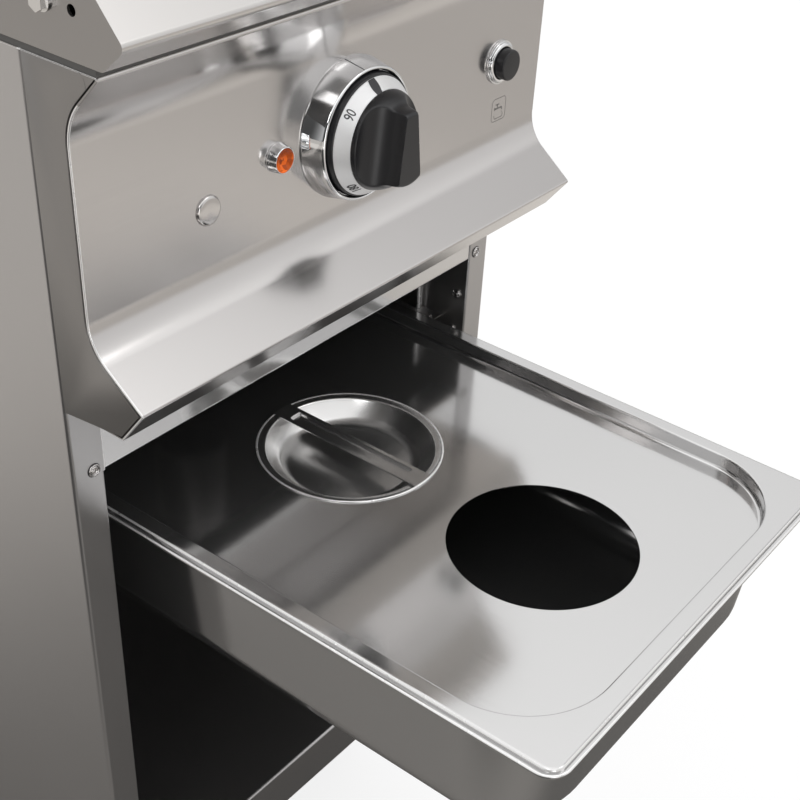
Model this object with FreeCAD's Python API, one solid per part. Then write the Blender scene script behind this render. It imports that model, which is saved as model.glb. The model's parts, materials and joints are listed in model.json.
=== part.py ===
import FreeCAD, Part
import math
import os

# Electric multi-cooker on a free-standing open cabinet, in millimetres.
# X runs across the cabinet, +Y runs to its back and +Z is up. While it is modelled, X is 0 at the
# middle, Y is 0 at the cabinet's front plane and Z is 0 on the floor. Each piece is moved to the part's
# own origin, the middle of the whole object's footprint, as it is written.

os.makedirs("parts", exist_ok=True)
V = FreeCAD.Vector

# Sheet and gaps
sheet = 1.2
bend = 2.4
seam = 0.4
slip = 0.3

# Cabinet
cabinet_width = 400.0
cabinet_depth = 607.4
foot_height = 140.0
base_height = 43.5
bay_height = 386.0
rail_height = 54.2
fascia_height = 195.8
post_width = 22.5
post_return = 16.0
rear_flange = 15.0
back_clearance = 1.4

# Worktop
worktop_thickness = 47.0
worktop_sheet = 1.5
worktop_overhang = 22.6
seal_thickness = 3.5
seal_width = 8.0
nose_reach = 71.0
nose_rise = 13.6
nose_foot = 55.5
nose_angle = 48.4
nose_flange = 16.0

# Fascia
panel_setback = 27.4
upper_reach = 53.2
upper_angle = 46.2
upper_radius = 34.0
lower_reach = 63.6
lower_rise = 22.5
lower_angle = 36.7
lower_radius = 28.0
foot_reach = 46.2
foot_drop = 3.0
fascia_flange = 24.0
tray_rise = 16.0

# Drawer container, its lid and the place where the photograph shows them
container_width = 325.0
container_length = 530.0
container_depth = 100.0
container_wall = 0.9
flange_width = 11.6
end_flange_width = 13.0
rim_corner = 14.0
body_corner = 62.0
body_taper = 5.5
end_taper = 9.5
body_bottom_radius = 26.0
rim_bead = 3.0
bead_width = 2.4
rim_below_rail = 54.9
drawer_out = 308.4
drawer_closed_gap = 4.0
lid_inset = 2.8
lid_sheet = 0.8
lid_lip = 2.9
lid_recess = 10.6
lid_corner = 9.0
lid_clearance = 0.8
hole_radius = 60.8
front_hole_inset = 116.0
hole_pitch = 156.8
dish_rim_radius = 63.4
dish_inner_radius = 57.0
dish_floor_radius = 45.0
dish_depth = 18.0
dish_sheet = 1.0
handle_width = 16.5
handle_sheet = 1.0
handle_groove_width = 11.0
handle_groove_length = 102.0
handle_groove_depth = 2.4

# Runners
runner_gap = 1.6
runner_leg = 11.0
runner_lip = 3.2
upright_width = 44.0
upright_height = 140.0

# Tank and drain
tank_side_space = 30.0
tank_rear_space = 77.4
tank_front = 50.0
tank_depth = 150.0
tank_corner = 40.0
tank_wall = 1.5
tank_floor = 3.0
tank_flange = 15.0
drain_radius = 25.0
drain_wall = 2.0
drain_end_rise = 8.0
plug_lip = 6.0

# Control knob, from the photograph
dial_height = 109.2
bezel_base_radius = 41.8
bezel_front_radius = 38.6
bezel_depth = 15.5
bezel_bore_radius = 36.8
bezel_bore_front = 37.0
dial_outer_radius = 34.6
dial_inner_radius = 29.4
dial_front = 18.6
dial_rise = 7.5
knob_front = 46.6
grip_front_radius = 20.0
grip_width = 10.6
grip_taper = 7.2
scoop_radius = 20.0
shaft_radius = 3.0

# Lamp, blanking cap and push button, from the photograph
lamp_offset = -60.7
lamp_height = 109.2
lamp_radius = 6.9
lamp_bezel_radius = 8.5
lamp_reach = 6.6
cap_inset = 86.0
cap_height = 95.6
cap_radius = 8.6
button_inset = 47.5
button_height = 110.1
button_ring_radius = 14.4
button_ring_reach = 3.5
button_radius = 10.0
button_reach = 9.8
button_travel = 3.0

# Levels and places that follow from the sizes above
half = cabinet_width / 2
tank_width = cabinet_width - 2 * tank_side_space
tank_length = cabinet_depth - tank_front - tank_rear_space
worktop_back = cabinet_depth + worktop_overhang
cap_offset = cap_inset - half
button_offset = half - button_inset
base_bottom = foot_height
floor_top = base_bottom + base_height
rail_bottom = floor_top + bay_height
fascia_bottom = rail_bottom + rail_height
side_top = fascia_bottom + fascia_height
worktop_bottom = side_top + seal_thickness
worktop_top = worktop_bottom + worktop_thickness
post_inner = half - post_width
rim_z = rail_bottom - rim_below_rail
flange_top = rim_z + rim_bead
lid_top = flange_top + lid_lip
lid_plate_top = lid_top - lid_recess
dish_front_y = -drawer_out
front_hole_y = -drawer_out + front_hole_inset
dish_y = front_hole_y + hole_pitch
drain_y = drawer_closed_gap + front_hole_inset
tray_z = fascia_bottom + tray_rise
panel_y = -panel_setback
panel_back = panel_y + sheet
dial_z = fascia_bottom + dial_height
tank_back = tank_front + tank_length
tank_inner_floor = worktop_top - tank_depth
tank_bottom = tank_inner_floor - tank_floor
origin_shift = V(0, (drawer_out - worktop_back) / 2, 0)


def save(name, *shapes):
    """Writes one sub-part, moved to the part's origin; several shapes stay separate solids."""
    solids = []
    for shape in shapes:
        solids += shape.Solids
    whole = solids[0].copy() if len(solids) == 1 else Part.makeCompound(solids)
    whole.translate(origin_shift)
    whole.exportStep("parts/" + name + ".step")


def box(x0, x1, y0, y1, z0, z1):
    return Part.makeBox(x1 - x0, y1 - y0, z1 - z0, V(x0, y0, z0))


def rod(radius, start, end):
    """A solid cylinder from start to end."""
    span = end - start
    return Part.makeCylinder(radius, span.Length, start, span)


def tube(outer, inner, start, end):
    return rod(outer, start, end).cut(rod(inner, start, end))


def mirrored(shape):
    """The same piece on the other side of the cabinet."""
    return shape.mirror(V(0, 0, 0), V(1, 0, 0))


def round_path(points, radii):
    """Edges along a polyline of vectors whose inner corners are rounded by arcs."""
    edges = []
    last = points[0]
    for index in range(1, len(points) - 1):
        corner = points[index]
        before = (points[index - 1] - corner).normalize()
        after = (points[index + 1] - corner).normalize()
        radius = radii[index - 1]
        turn = before.getAngle(after)
        if radius < 0.05 or abs(math.pi - turn) < 1e-6:
            edges.append(Part.makeLine(last, corner))
            last = corner
            continue
        reach = radius / math.tan(turn / 2)
        first = corner + before * reach
        second = corner + after * reach
        middle = corner + (before + after).normalize() * (radius / math.sin(turn / 2) - radius)
        if (first - last).Length > 1e-6:
            edges.append(Part.makeLine(last, first))
        edges.append(Part.Arc(first, middle, second).toShape())
        last = second
    edges.append(Part.makeLine(last, points[-1]))
    return edges


def beside(points, distance, normal):
    """The polyline moved sideways by distance, to the right of its run seen along -normal."""
    moved = []
    sides = []
    for first, second in zip(points, points[1:]):
        run = (second - first).normalize()
        sides.append(run.cross(normal) * distance)
    for index, point in enumerate(points):
        if index == 0:
            moved.append(point + sides[0])
        elif index == len(points) - 1:
            moved.append(point + sides[-1])
        else:
            total = sides[index - 1] + sides[index]
            moved.append(point + total * (2 * distance * distance / total.dot(total)))
    return moved


def folded(points, thickness, run, radius=bend, radii=None):
    """Folded sheet: its outer face follows the polyline, with bends, and it is pushed along run."""
    normal = V(run).normalize()
    if radii is None:
        radii = [radius] * (len(points) - 2)
    inner = beside(points, thickness, normal)
    inner_radii = []
    for index in range(1, len(points) - 1):
        first = points[index] - points[index - 1]
        second = points[index + 1] - points[index]
        right_turn = first.cross(second).dot(normal) < 0
        change = -thickness if right_turn else thickness
        inner_radii.append(max(radii[index - 1] + change, 0.0))
    edges = round_path(points, radii)
    edges.append(Part.makeLine(points[-1], inner[-1]))
    edges += round_path(list(reversed(inner)), list(reversed(inner_radii)))
    edges.append(Part.makeLine(inner[0], points[0]))
    wire = Part.Wire(Part.__sortEdges__(edges))
    return Part.Face(wire).extrude(run)


def outline(points, radii=None):
    """A closed wire round the points, with rounded corners."""
    count = len(points)
    if radii is None:
        radii = [0.0] * count
    start = (points[0] + points[1]) * 0.5
    path = [start] + points[1:] + [points[0], start]
    return Part.Wire(Part.__sortEdges__(round_path(path, radii[1:] + [radii[0]])))


def round_rect(x0, x1, y0, y1, radius, z):
    corners = [V(x0, y0, z), V(x1, y0, z), V(x1, y1, z), V(x0, y1, z)]
    return outline(corners, [radius] * 4)


def slab(wire, height):
    """A solid of the wire's face, pushed up by height."""
    return Part.Face(wire).extrude(V(0, 0, height))


def turned(points, centre, direction):
    """A solid of revolution: each point is (radius, distance along direction from centre)."""
    direction = V(direction).normalize()
    side = V(0, 0, 1) if abs(direction.z) < 0.5 else V(1, 0, 0)
    ring = [centre + direction * along + side * radius for radius, along in points]
    face = Part.Face(Part.makePolygon(ring + [ring[0]]))
    return face.revolve(centre, direction, 360)


def piped(points, radius, corner):
    """A round bar or pipe along a polyline whose corners are rounded."""
    path = Part.Wire(round_path(points, [corner] * (len(points) - 2)))
    start = Part.Wire(Part.makeCircle(radius, points[0], points[1] - points[0]))
    return path.makePipeShell([start], True, False)


def hex_prism(flats, start, height, direction):
    """A hexagonal prism with the given width across flats."""
    direction = V(direction).normalize()
    side = V(0, 0, 1) if abs(direction.z) < 0.5 else V(1, 0, 0)
    radius = flats / math.sqrt(3)
    corners = []
    for index in range(7):
        turn = FreeCAD.Rotation(direction, 60.0 * index)
        corners.append(start + turn.multVec(side * radius))
    return Part.Face(Part.makePolygon(corners)).extrude(direction * height)


def side_panel():
    """The left side panel: one sheet folded round the front post and the rear flange."""
    left = -half
    inner = -post_inner
    points = [V(inner, post_return, base_bottom), V(inner, 0, base_bottom), V(left, 0, base_bottom),
              V(left, cabinet_depth, base_bottom), V(left + rear_flange, cabinet_depth, base_bottom)]
    return folded(points, sheet, V(0, 0, side_top - base_bottom), radii=[post_fold, bend, bend])


def screw_places(shelf_z):
    """Where a runner bracket's two screws are: distance behind its front edge and level."""
    return (upper_screw_inset, shelf_z + upper_screw_rise), (lower_screw_inset, shelf_z - lower_screw_drop)


def cabinet_shell():
    panel = side_panel()
    rivet_seat = rod(rivet_hole, V(-rivet_x, -1, rivet_z), V(-rivet_x, sheet + 1, rivet_z))
    panel = panel.cut(rivet_seat)
    shelf_z = rim_z - slip - sheet
    for dy, z in screw_places(shelf_z):
        y = bracket_front + dy
        panel = panel.cut(rod(screw_radius + 0.05, V(-post_inner - 3, y, z), V(-post_inner + 3, y, z)))
    save("side_panel_left", panel)
    save("side_panel_right", mirrored(panel))

    back_y = cabinet_depth - 2 * sheet
    wide = half - sheet - back_clearance
    back = box(-wide, wide, back_y, back_y + sheet, base_bottom, side_top)
    for row in range(vent_rows):
        z = vent_bottom + row * vent_pitch
        for x in (-vent_x, vent_x):
            slot = box(x - vent_length / 2, x + vent_length / 2, back_y - 1, back_y + 2 * sheet, z, z + vent_slot)
            back = back.cut(slot)
    for x, z, radius in ((gland_x, gland_z, gland_radius), (inlet_x, inlet_z, inlet_radius)):
        back = back.cut(rod(radius + slip, V(x, back_y - 1, z), V(x, back_y + 2 * sheet, z)))
    save("back_panel", back)

    rear = back_y - slip
    inside = post_inner - slip
    lip = folded([V(-inside, post_return, base_bottom), V(-inside, 0, base_bottom),
                  V(-inside, 0, floor_top), V(-inside, post_return + rail_return, floor_top)],
                 sheet, V(2 * inside, 0, 0))
    wide = half - sheet - slip
    plate = box(-wide, wide, post_return + 1, rear, floor_top - sheet, floor_top)
    turned_down = box(-wide, wide, rear - sheet, rear, base_bottom + post_return, floor_top)
    floor = lip.fuse([plate, turned_down]).removeSplitter()
    for x in (-foot_x, foot_x):
        for y in (foot_front, foot_rear):
            floor = floor.cut(rod(foot_bolt + slip, V(x, y, floor_top - 3), V(x, y, floor_top + 3)))
    save("floor_panel", floor)

    top = tray_z
    rail = folded([V(-inside, rail_flange, rail_bottom), V(-inside, 0, rail_bottom),
                   V(-inside, 0, top), V(-inside, rail_flange, top)], sheet,
                  V(2 * post_inner - slip - rail_gap, 0, 0))
    save("cross_rail", rail)


def compartment_tray():
    """The shelf that closes the space under the tank, with a collar hole for the drain."""
    wide = half - sheet - slip
    rear = cabinet_depth - 2 * sheet - slip
    plate = box(-wide, wide, post_return + 1, rear, tray_z, tray_z + sheet)
    front = box(-post_inner + slip, post_inner - slip, bend, post_return + 1, tray_z, tray_z + sheet)
    upstand = box(-wide, wide, rear - sheet, rear, tray_z, tray_z + tray_upstand)
    tray = plate.fuse([front, upstand]).removeSplitter()
    radius = drain_radius + drain_wall + slip
    tray = tray.cut(rod(radius, V(0, drain_y, tray_z - 1), V(0, drain_y, tray_z + 3)))
    save("compartment_tray", tray)


def fascia_line():
    """The fascia's outer profile in the plane X = 0, from its top flange down to its foot."""
    top = side_top
    rise = upper_reach - panel_setback
    upper_z = top - rise * math.tan(math.radians(upper_angle))
    nose_z = fascia_bottom + lower_rise
    lower_z = nose_z + (lower_reach - panel_setback) * math.tan(math.radians(lower_angle))
    points = [V(0, -upper_reach + fascia_flange, top), V(0, -upper_reach, top),
              V(0, panel_y, upper_z), V(0, panel_y, lower_z), V(0, -lower_reach, nose_z),
              V(0, -foot_reach, fascia_bottom), V(0, 0, fascia_bottom), V(0, 0, fascia_bottom + tray_rise - 2)]
    radii = [1.6, upper_radius, lower_radius, 1.6, 1.6, bend]
    return points, radii


def fascia():
    points, radii = fascia_line()
    inside = half - sheet
    start = [V(-inside, p.y, p.z) for p in reversed(points)]
    panel = folded(start, sheet, V(2 * inside, 0, 0), radii=list(reversed(radii)))
    holes = ((0, dial_z, shaft_radius + 1.5), (lamp_offset, fascia_bottom + lamp_height, lamp_hole),
             (cap_offset, fascia_bottom + cap_height, cap_hole),
             (button_offset, fascia_bottom + button_height, button_hole))
    for x, z, radius in holes:
        panel = panel.cut(rod(radius, V(x, panel_y - 2, z), V(x, panel_y + 4, z)))
    save("fascia", panel)

    front = [V(-half, p.y, p.z) for p in points[1:6]]
    corners = front + [V(-half, -seam, fascia_bottom - foot_drop), V(-half, -seam, side_top)]
    rounds = [1.0] + radii[1:5] + [0.0, 0.0]
    cheek = Part.Face(outline(corners, rounds)).extrude(V(sheet, 0, 0))
    save("fascia_cheek_left", cheek)
    save("fascia_cheek_right", mirrored(cheek))


def worktop():
    slant = (worktop_thickness - nose_rise) / math.tan(math.radians(nose_angle))
    top_front = -nose_reach + slant
    nose_z = worktop_bottom + nose_rise
    points = [V(0, -nose_foot + nose_flange, worktop_bottom), V(0, -nose_foot, worktop_bottom),
              V(0, -nose_reach, nose_z), V(0, top_front, worktop_top), V(0, worktop_back, worktop_top),
              V(0, worktop_back, worktop_bottom), V(0, worktop_back - nose_flange, worktop_bottom)]
    inside = half - worktop_sheet
    # the run goes to -X so that the sheet's thickness lies inside the profile
    skin = folded([V(half, p.y, p.z) for p in reversed(points)], worktop_sheet, V(-cabinet_width, 0, 0),
                  radii=list(reversed([2.0, 4.0, 3.0, 2.5, 2.5])))
    side = [V(-half, p.y, p.z) for p in points[1:6]]
    skirt = Part.Face(outline(side, [2.0, 4.0, 3.0, 2.5, 2.5])).extrude(V(worktop_sheet, 0, 0))
    shell = skin.fuse([skirt, mirrored(skirt)]).removeSplitter()
    opening = slab(round_rect(-tank_width / 2, tank_width / 2, tank_front, tank_back, tank_corner,
                              worktop_top - 2 * worktop_sheet), 4 * worktop_sheet)
    shell = shell.cut(opening)
    for x in (-half - 1, half - 3):
        for y in (join_hole_y, join_bolt_y):
            radius = join_hole_radius if y == join_hole_y else bolt_radius + 0.1
            shell = shell.cut(rod(radius, V(x, y, join_z), V(x + 4, y, join_z)))
    save("worktop", shell)

    outer = half - 0.6
    low = -nose_foot + 5
    ring = box(-outer, outer, low, cabinet_depth - 1, side_top, worktop_bottom)
    hollow = box(-outer + seal_width, outer - seal_width, low + seal_width,
                 cabinet_depth - 1 - seal_width, side_top, worktop_bottom)
    save("worktop_seal", ring.cut(hollow))

    bolts = []
    for side_sign in (-1, 1):
        face = side_sign * half
        out = V(side_sign, 0, 0)
        seat = V(face, join_bolt_y, join_z)
        tail = seat - out * bolt_length
        washer = rod(2 * bolt_radius, seat, seat + out)
        head = hex_prism(bolt_flats, seat + out, bolt_head, out)
        bolts.append(washer.fuse([head, rod(bolt_radius, tail, seat + out)]).removeSplitter())
        nut = hex_prism(bolt_flats, seat - out * worktop_sheet, bolt_head, -out)
        bolts.append(nut.cut(rod(bolt_radius, tail, seat)))
    save("joining_bolts", *bolts)


def tank():
    top = worktop_top - worktop_sheet
    x = tank_width / 2
    outer = slab(round_rect(-x - tank_wall, x + tank_wall, tank_front - tank_wall, tank_back + tank_wall,
                            tank_corner + tank_wall, tank_bottom), top - tank_bottom)
    outer = outer.makeFillet(tank_floor_corner + tank_wall,
                             [e for e in outer.Edges if e.BoundBox.ZMax < tank_bottom + 0.01])
    inner = slab(round_rect(-x, x, tank_front, tank_back, tank_corner, tank_inner_floor), tank_depth)
    inner = inner.makeFillet(tank_floor_corner,
                             [e for e in inner.Edges if e.BoundBox.ZMax < tank_inner_floor + 0.01])
    flange = slab(round_rect(-x - tank_flange, x + tank_flange, tank_front - tank_flange,
                             tank_back + tank_flange, tank_corner + tank_flange, top - tank_wall), tank_wall)
    shell = outer.fuse(flange).cut(inner)
    shell = shell.cut(rod(drain_radius, V(0, drain_y, tank_bottom - 1), V(0, drain_y, tank_inner_floor + 1)))
    shell = shell.cut(rod(nozzle_radius + 0.05, V(inlet_x, tank_back - 2, nozzle_z),
                          V(inlet_x, tank_back + 4, nozzle_z)))
    save("tank", shell.removeSplitter())

    pipe_end = rail_bottom + drain_end_rise
    save("drain_pipe", tube(drain_radius + drain_wall, drain_radius, V(0, drain_y, pipe_end),
                            V(0, drain_y, tank_bottom)))

    elements = []
    z = tank_bottom - element_radius
    for index in range(element_count):
        x0 = (index - (element_count - 1) / 2) * element_pitch
        legs = [V(x0 - element_gap / 2, element_back, z), V(x0 - element_gap / 2, element_front, z),
                V(x0 + element_gap / 2, element_front, z), V(x0 + element_gap / 2, element_back, z)]
        elements.append(piped(legs, element_radius, element_gap / 2 - 2))
    save("heating_elements", *elements)

    low = z - element_radius
    under = low - clamp_thickness
    reach = x - clamp_inset
    clamps = []
    for start, end in ((element_front - clamp_margin, element_front + clamp_margin),
                       (element_front + 2 * clamp_margin, element_back - clamp_margin)):
        clamps.append(box(-reach, reach, start, end, under, low))
    save("element_clamps", *clamps)

    wool = slab(round_rect(-x, x, tank_front, tank_back, tank_corner, under - wool_thickness), wool_thickness)
    wool = wool.cut(rod(drain_radius + drain_wall + 1, V(0, drain_y, under - 2 * wool_thickness),
                        V(0, drain_y, under + 1)))
    save("insulation", wool)


def drain_plug():
    """The stopper that closes the tank's drain, lifted by its rod and ring."""
    centre = V(0, drain_y, 0)
    floor = tank_inner_floor
    seat = floor + plug_seal_thickness
    seal = tube(drain_radius + plug_lip - 1, drain_radius - 4, centre + V(0, 0, floor), centre + V(0, 0, seat))
    body = turned([(0, floor - 2), (drain_radius - 4.3, floor - 2), (drain_radius - 4.3, seat),
                   (drain_radius + plug_lip, seat), (drain_radius + plug_lip - 1, seat + plug_rise / 2),
                   (2 * stem_radius, seat + plug_rise), (0, seat + plug_rise)], centre, V(0, 0, 1))
    top = seat + plug_stem + plug_bar_radius
    stem = rod(stem_radius, centre + V(0, 0, seat + plug_rise), centre + V(0, 0, top))
    bar = rod(plug_bar_radius, centre + V(-plug_bar_reach, 0, top), centre + V(plug_bar_reach, 0, top))
    ends = [Part.makeSphere(plug_bar_radius, centre + V(x, 0, top)) for x in (-plug_bar_reach, plug_bar_reach)]
    save("plug_seal", seal)
    save("plug_stopper", body)
    save("plug_handle", stem.fuse([bar] + ends).removeSplitter())


def container():
    """The gastronorm container: pressed tub, flat flange and rolled bead."""
    x = container_width / 2
    y0 = -drawer_out
    y1 = y0 + container_length
    bottom = flange_top - container_depth

    def tub(gap, floor, top):
        side = x - flange_width - gap
        end = end_flange_width + gap
        upper = round_rect(-side, side, y0 + end, y1 - end, body_corner - gap, top)
        low_side = side - body_taper
        low_end = end + end_taper
        lower = round_rect(-low_side, low_side, y0 + low_end, y1 - low_end, body_corner - end_taper - gap,
                           floor)
        solid = Part.makeLoft([lower, upper], True, True)
        edges = [e for e in solid.Edges if e.BoundBox.ZMax < floor + 0.01]
        return solid.makeFillet(body_bottom_radius - gap, edges)

    outer = tub(0.0, bottom, flange_top)
    inner = tub(container_wall, bottom + container_wall, flange_top + 0.01)
    plate = slab(round_rect(-x, x, y0, y1, rim_corner, flange_top - container_wall), container_wall)
    bead_outer = slab(round_rect(-x, x, y0, y1, rim_corner, rim_z), rim_bead)
    bead_inner = slab(round_rect(-x + bead_width, x - bead_width, y0 + bead_width, y1 - bead_width,
                                 rim_corner - bead_width, rim_z - 1), rim_bead + 2)
    bead = bead_outer.cut(bead_inner)
    bead = bead.makeFillet(0.9, [e for e in bead.Edges if on_outline(e, x, y0, y1)])
    whole = outer.fuse([plate, bead]).cut(inner)
    save("container", whole.removeSplitter())


def on_outline(edge, x, y0, y1):
    """Tells the outer bottom and top edges of a rim from its inner ones."""
    box_ = edge.BoundBox
    level = abs(box_.ZMax - box_.ZMin) < 1e-6
    centre = edge.CenterOfMass
    reach = max(abs(centre.x) - x, y0 - centre.y, centre.y - y1)
    corner = abs(centre.x) > x - rim_corner and (centre.y < y0 + rim_corner or centre.y > y1 - rim_corner)
    near = corner and max(abs(centre.x) / x, 0) > 0 and edge.Length > (rim_corner - 1.2) * math.pi / 2 - 0.5
    return level and (reach > -0.3 or near)


def lid():
    """The container's lid: turned-down edge, flange, recessed plate and two round holes."""
    x = container_width / 2 - lid_inset
    y0 = -drawer_out + lid_inset
    y1 = -drawer_out + container_length - lid_inset
    skin = slab(round_rect(-x, x, y0, y1, lid_corner, flange_top), lid_lip)
    top_edges = [e for e in skin.Edges if e.BoundBox.ZMin > lid_top - 0.01]
    skin = skin.makeFillet(1.8, top_edges)
    under = slab(round_rect(-x + lid_sheet, x - lid_sheet, y0 + lid_sheet, y1 - lid_sheet,
                            lid_corner - lid_sheet, flange_top - 1), lid_lip - lid_sheet + 1)
    inset = container_wall + lid_clearance + lid_sheet
    rx = container_width / 2 - flange_width - inset
    ry0 = -drawer_out + end_flange_width + inset
    ry1 = -drawer_out + container_length - end_flange_width - inset
    lid_recess_corner = body_corner - inset
    plate_z = lid_plate_top
    recess = slab(round_rect(-rx, rx, ry0, ry1, lid_recess_corner, plate_z), lid_recess + 1)
    recess = recess.makeFillet(1.6, [e for e in recess.Edges if e.BoundBox.ZMax < plate_z + 0.01])
    body = slab(round_rect(-rx - lid_sheet, rx + lid_sheet, ry0 - lid_sheet, ry1 + lid_sheet,
                           lid_recess_corner + lid_sheet, plate_z - lid_sheet), lid_recess)
    body = body.makeFillet(2.4, [e for e in body.Edges if e.BoundBox.ZMax < plate_z - lid_sheet + 0.01])
    shell = skin.cut(under).fuse(body).cut(recess)
    for y in (front_hole_y, dish_y):
        shell = shell.cut(rod(hole_radius, V(0, y, plate_z - 2), V(0, y, plate_z + 1)))
    save("lid", shell.removeSplitter())


def dish():
    """The dished plug that closes the lid's second hole, with its stamped bar handle."""
    centre = V(0, dish_y, lid_plate_top)
    t = dish_sheet
    slope = 5.0
    profile = [(0, -dish_depth), (dish_floor_radius, -dish_depth), (dish_floor_radius + 4, -dish_depth + 2),
               (dish_floor_radius + 6, -dish_depth + 6), (dish_inner_radius - 1, -1.5),
               (dish_inner_radius + 0.5, t), (dish_rim_radius - 0.5, t), (dish_rim_radius, 0.4),
               (dish_rim_radius, 0), (hole_radius - slip, 0), (dish_inner_radius + 1, -1.5),
               (dish_floor_radius + 6 + t, -dish_depth + slope), (dish_floor_radius + 5, -dish_depth + 1),
               (dish_floor_radius + 0.5, -dish_depth - t), (0, -dish_depth - t)]
    save("dish_bowl", turned(profile, centre, V(0, 0, 1)))
    reach = math.sqrt((dish_rim_radius - 1.5) ** 2 - (handle_width / 2) ** 2)
    z = lid_plate_top + t
    bar = box(-handle_width / 2, handle_width / 2, dish_y - reach, dish_y + reach, z, z + handle_sheet)
    gx = handle_groove_width / 2
    gy = handle_groove_length / 2
    wall = handle_sheet
    deep = z - handle_groove_depth
    pressed = slab(round_rect(-gx, gx, dish_y - gy, dish_y + gy, 3.5, deep), handle_groove_depth)
    pressed = pressed.makeFillet(1.2, [e for e in pressed.Edges if e.BoundBox.ZMax < deep + 0.01])
    hollow = slab(round_rect(-gx + wall, gx - wall, dish_y - gy + wall, dish_y + gy - wall, 3.5 - wall,
                             deep + wall), handle_groove_depth + 1)
    save("dish_handle", bar.fuse(pressed).cut(hollow).removeSplitter())


def runners():
    """Channels that carry the container's flange, on brackets and uprights at each side."""
    web = container_width / 2 + runner_gap
    low = rim_z - slip
    front = runner_front
    runner_length = drawer_closed_gap + container_length + slip + sheet - front
    points = [V(web - runner_leg, front, low - sheet), V(web + sheet, front, low - sheet),
              V(web + sheet, front, flange_top + 0.5 + sheet),
              V(web - runner_lip, front, flange_top + 0.5 + sheet)]
    channel = folded(points, sheet, V(0, runner_length, 0), radii=[1.4, 1.4])
    stop = box(web - runner_leg, web, front + runner_length - sheet, front + runner_length, low, flange_top)
    right = channel.fuse(stop).removeSplitter()
    save("runner_right", right)
    save("runner_left", mirrored(right))

    wall = half - sheet
    foot = low - sheet - upright_height / 2
    upright = folded([V(wall, upright_rear, foot), V(post_inner, upright_rear, foot),
                      V(post_inner, upright_rear + upright_width, foot),
                      V(wall, upright_rear + upright_width, foot)], sheet, V(0, 0, upright_height))
    shelf_z = low - sheet
    inner = web - runner_leg + 1
    bottom = shelf_z - bracket_drop
    height = bracket_drop + bracket_rise

    # the front bracket lies behind the post's return and ends in a turned-in flange
    rear = bracket_front + bracket_width
    face = post_inner + sheet + slip
    front_bracket = folded([V(face - bracket_flange, rear, bottom), V(face + sheet, rear, bottom),
                            V(face + sheet, bracket_front, bottom)], sheet, V(0, 0, height))
    # the rear bracket is a plate on the upright
    plate = box(post_inner - sheet, post_inner, upright_rear + 1, upright_rear + 1 + bracket_width, bottom,
                bottom + height)
    brackets = []
    screws = []
    for y, hanger, side, seat in ((bracket_front, front_bracket, face + slip, post_inner),
                                  (upright_rear + 1, plate, post_inner - sheet, post_inner - sheet)):
        shelf = box(inner, side, y + shelf_offset, y + shelf_offset + shelf_width, shelf_z - sheet, shelf_z)
        bracket = hanger.fuse(shelf)
        for dy, z in screw_places(shelf_z):
            hole = rod(screw_radius + 0.05, V(post_inner - 5, y + dy, z), V(post_inner + 5, y + dy, z))
            bracket = bracket.cut(hole)
            upright = upright.cut(hole)
            head = turned([(0, 0), (screw_head, 0), (0.94 * screw_head, 0.4 * screw_head),
                           (0.45 * screw_head, 0.6 * screw_head), (0, 0.6 * screw_head)],
                          V(seat, y + dy, z), V(-1, 0, 0))
            screws.append(head.fuse(rod(screw_radius, V(seat, y + dy, z), V(seat + screw_length, y + dy, z))))
        brackets.append(bracket.removeSplitter())
    save("upright_posts", upright, mirrored(upright))
    save("runner_brackets", *(brackets + [mirrored(b) for b in brackets]))
    save("bracket_screws", *(screws + [mirrored(s) for s in screws]))


def feet():
    sleeves = []
    shoes = []
    plugs = []
    for x in (-foot_x, foot_x):
        for y in (foot_front, foot_rear):
            centre = V(x, y, 0)
            socket = tube(foot_tube, foot_tube - foot_tube_wall, centre + V(0, 0, foot_rise),
                          centre + V(0, 0, floor_top - sheet))
            sleeves.append(socket)
            shoe = turned([(0, 0), (foot_tube - 3, 0), (foot_tube, 4), (foot_tube, foot_rise),
                           (foot_bolt, foot_rise), (foot_bolt, foot_rise + foot_bolt_length),
                           (0, foot_rise + foot_bolt_length)], centre, V(0, 0, 1))
            plug = tube(foot_tube - foot_tube_wall - 0.05, foot_bolt + 0.05, centre + V(0, 0, foot_rise + 1),
                        centre + V(0, 0, foot_rise + foot_plug_height))
            shoes.append(shoe)
            plugs.append(plug)
    save("foot_sleeves", *sleeves)
    save("foot_shoes", *shoes)
    save("foot_nuts", *plugs)


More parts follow.
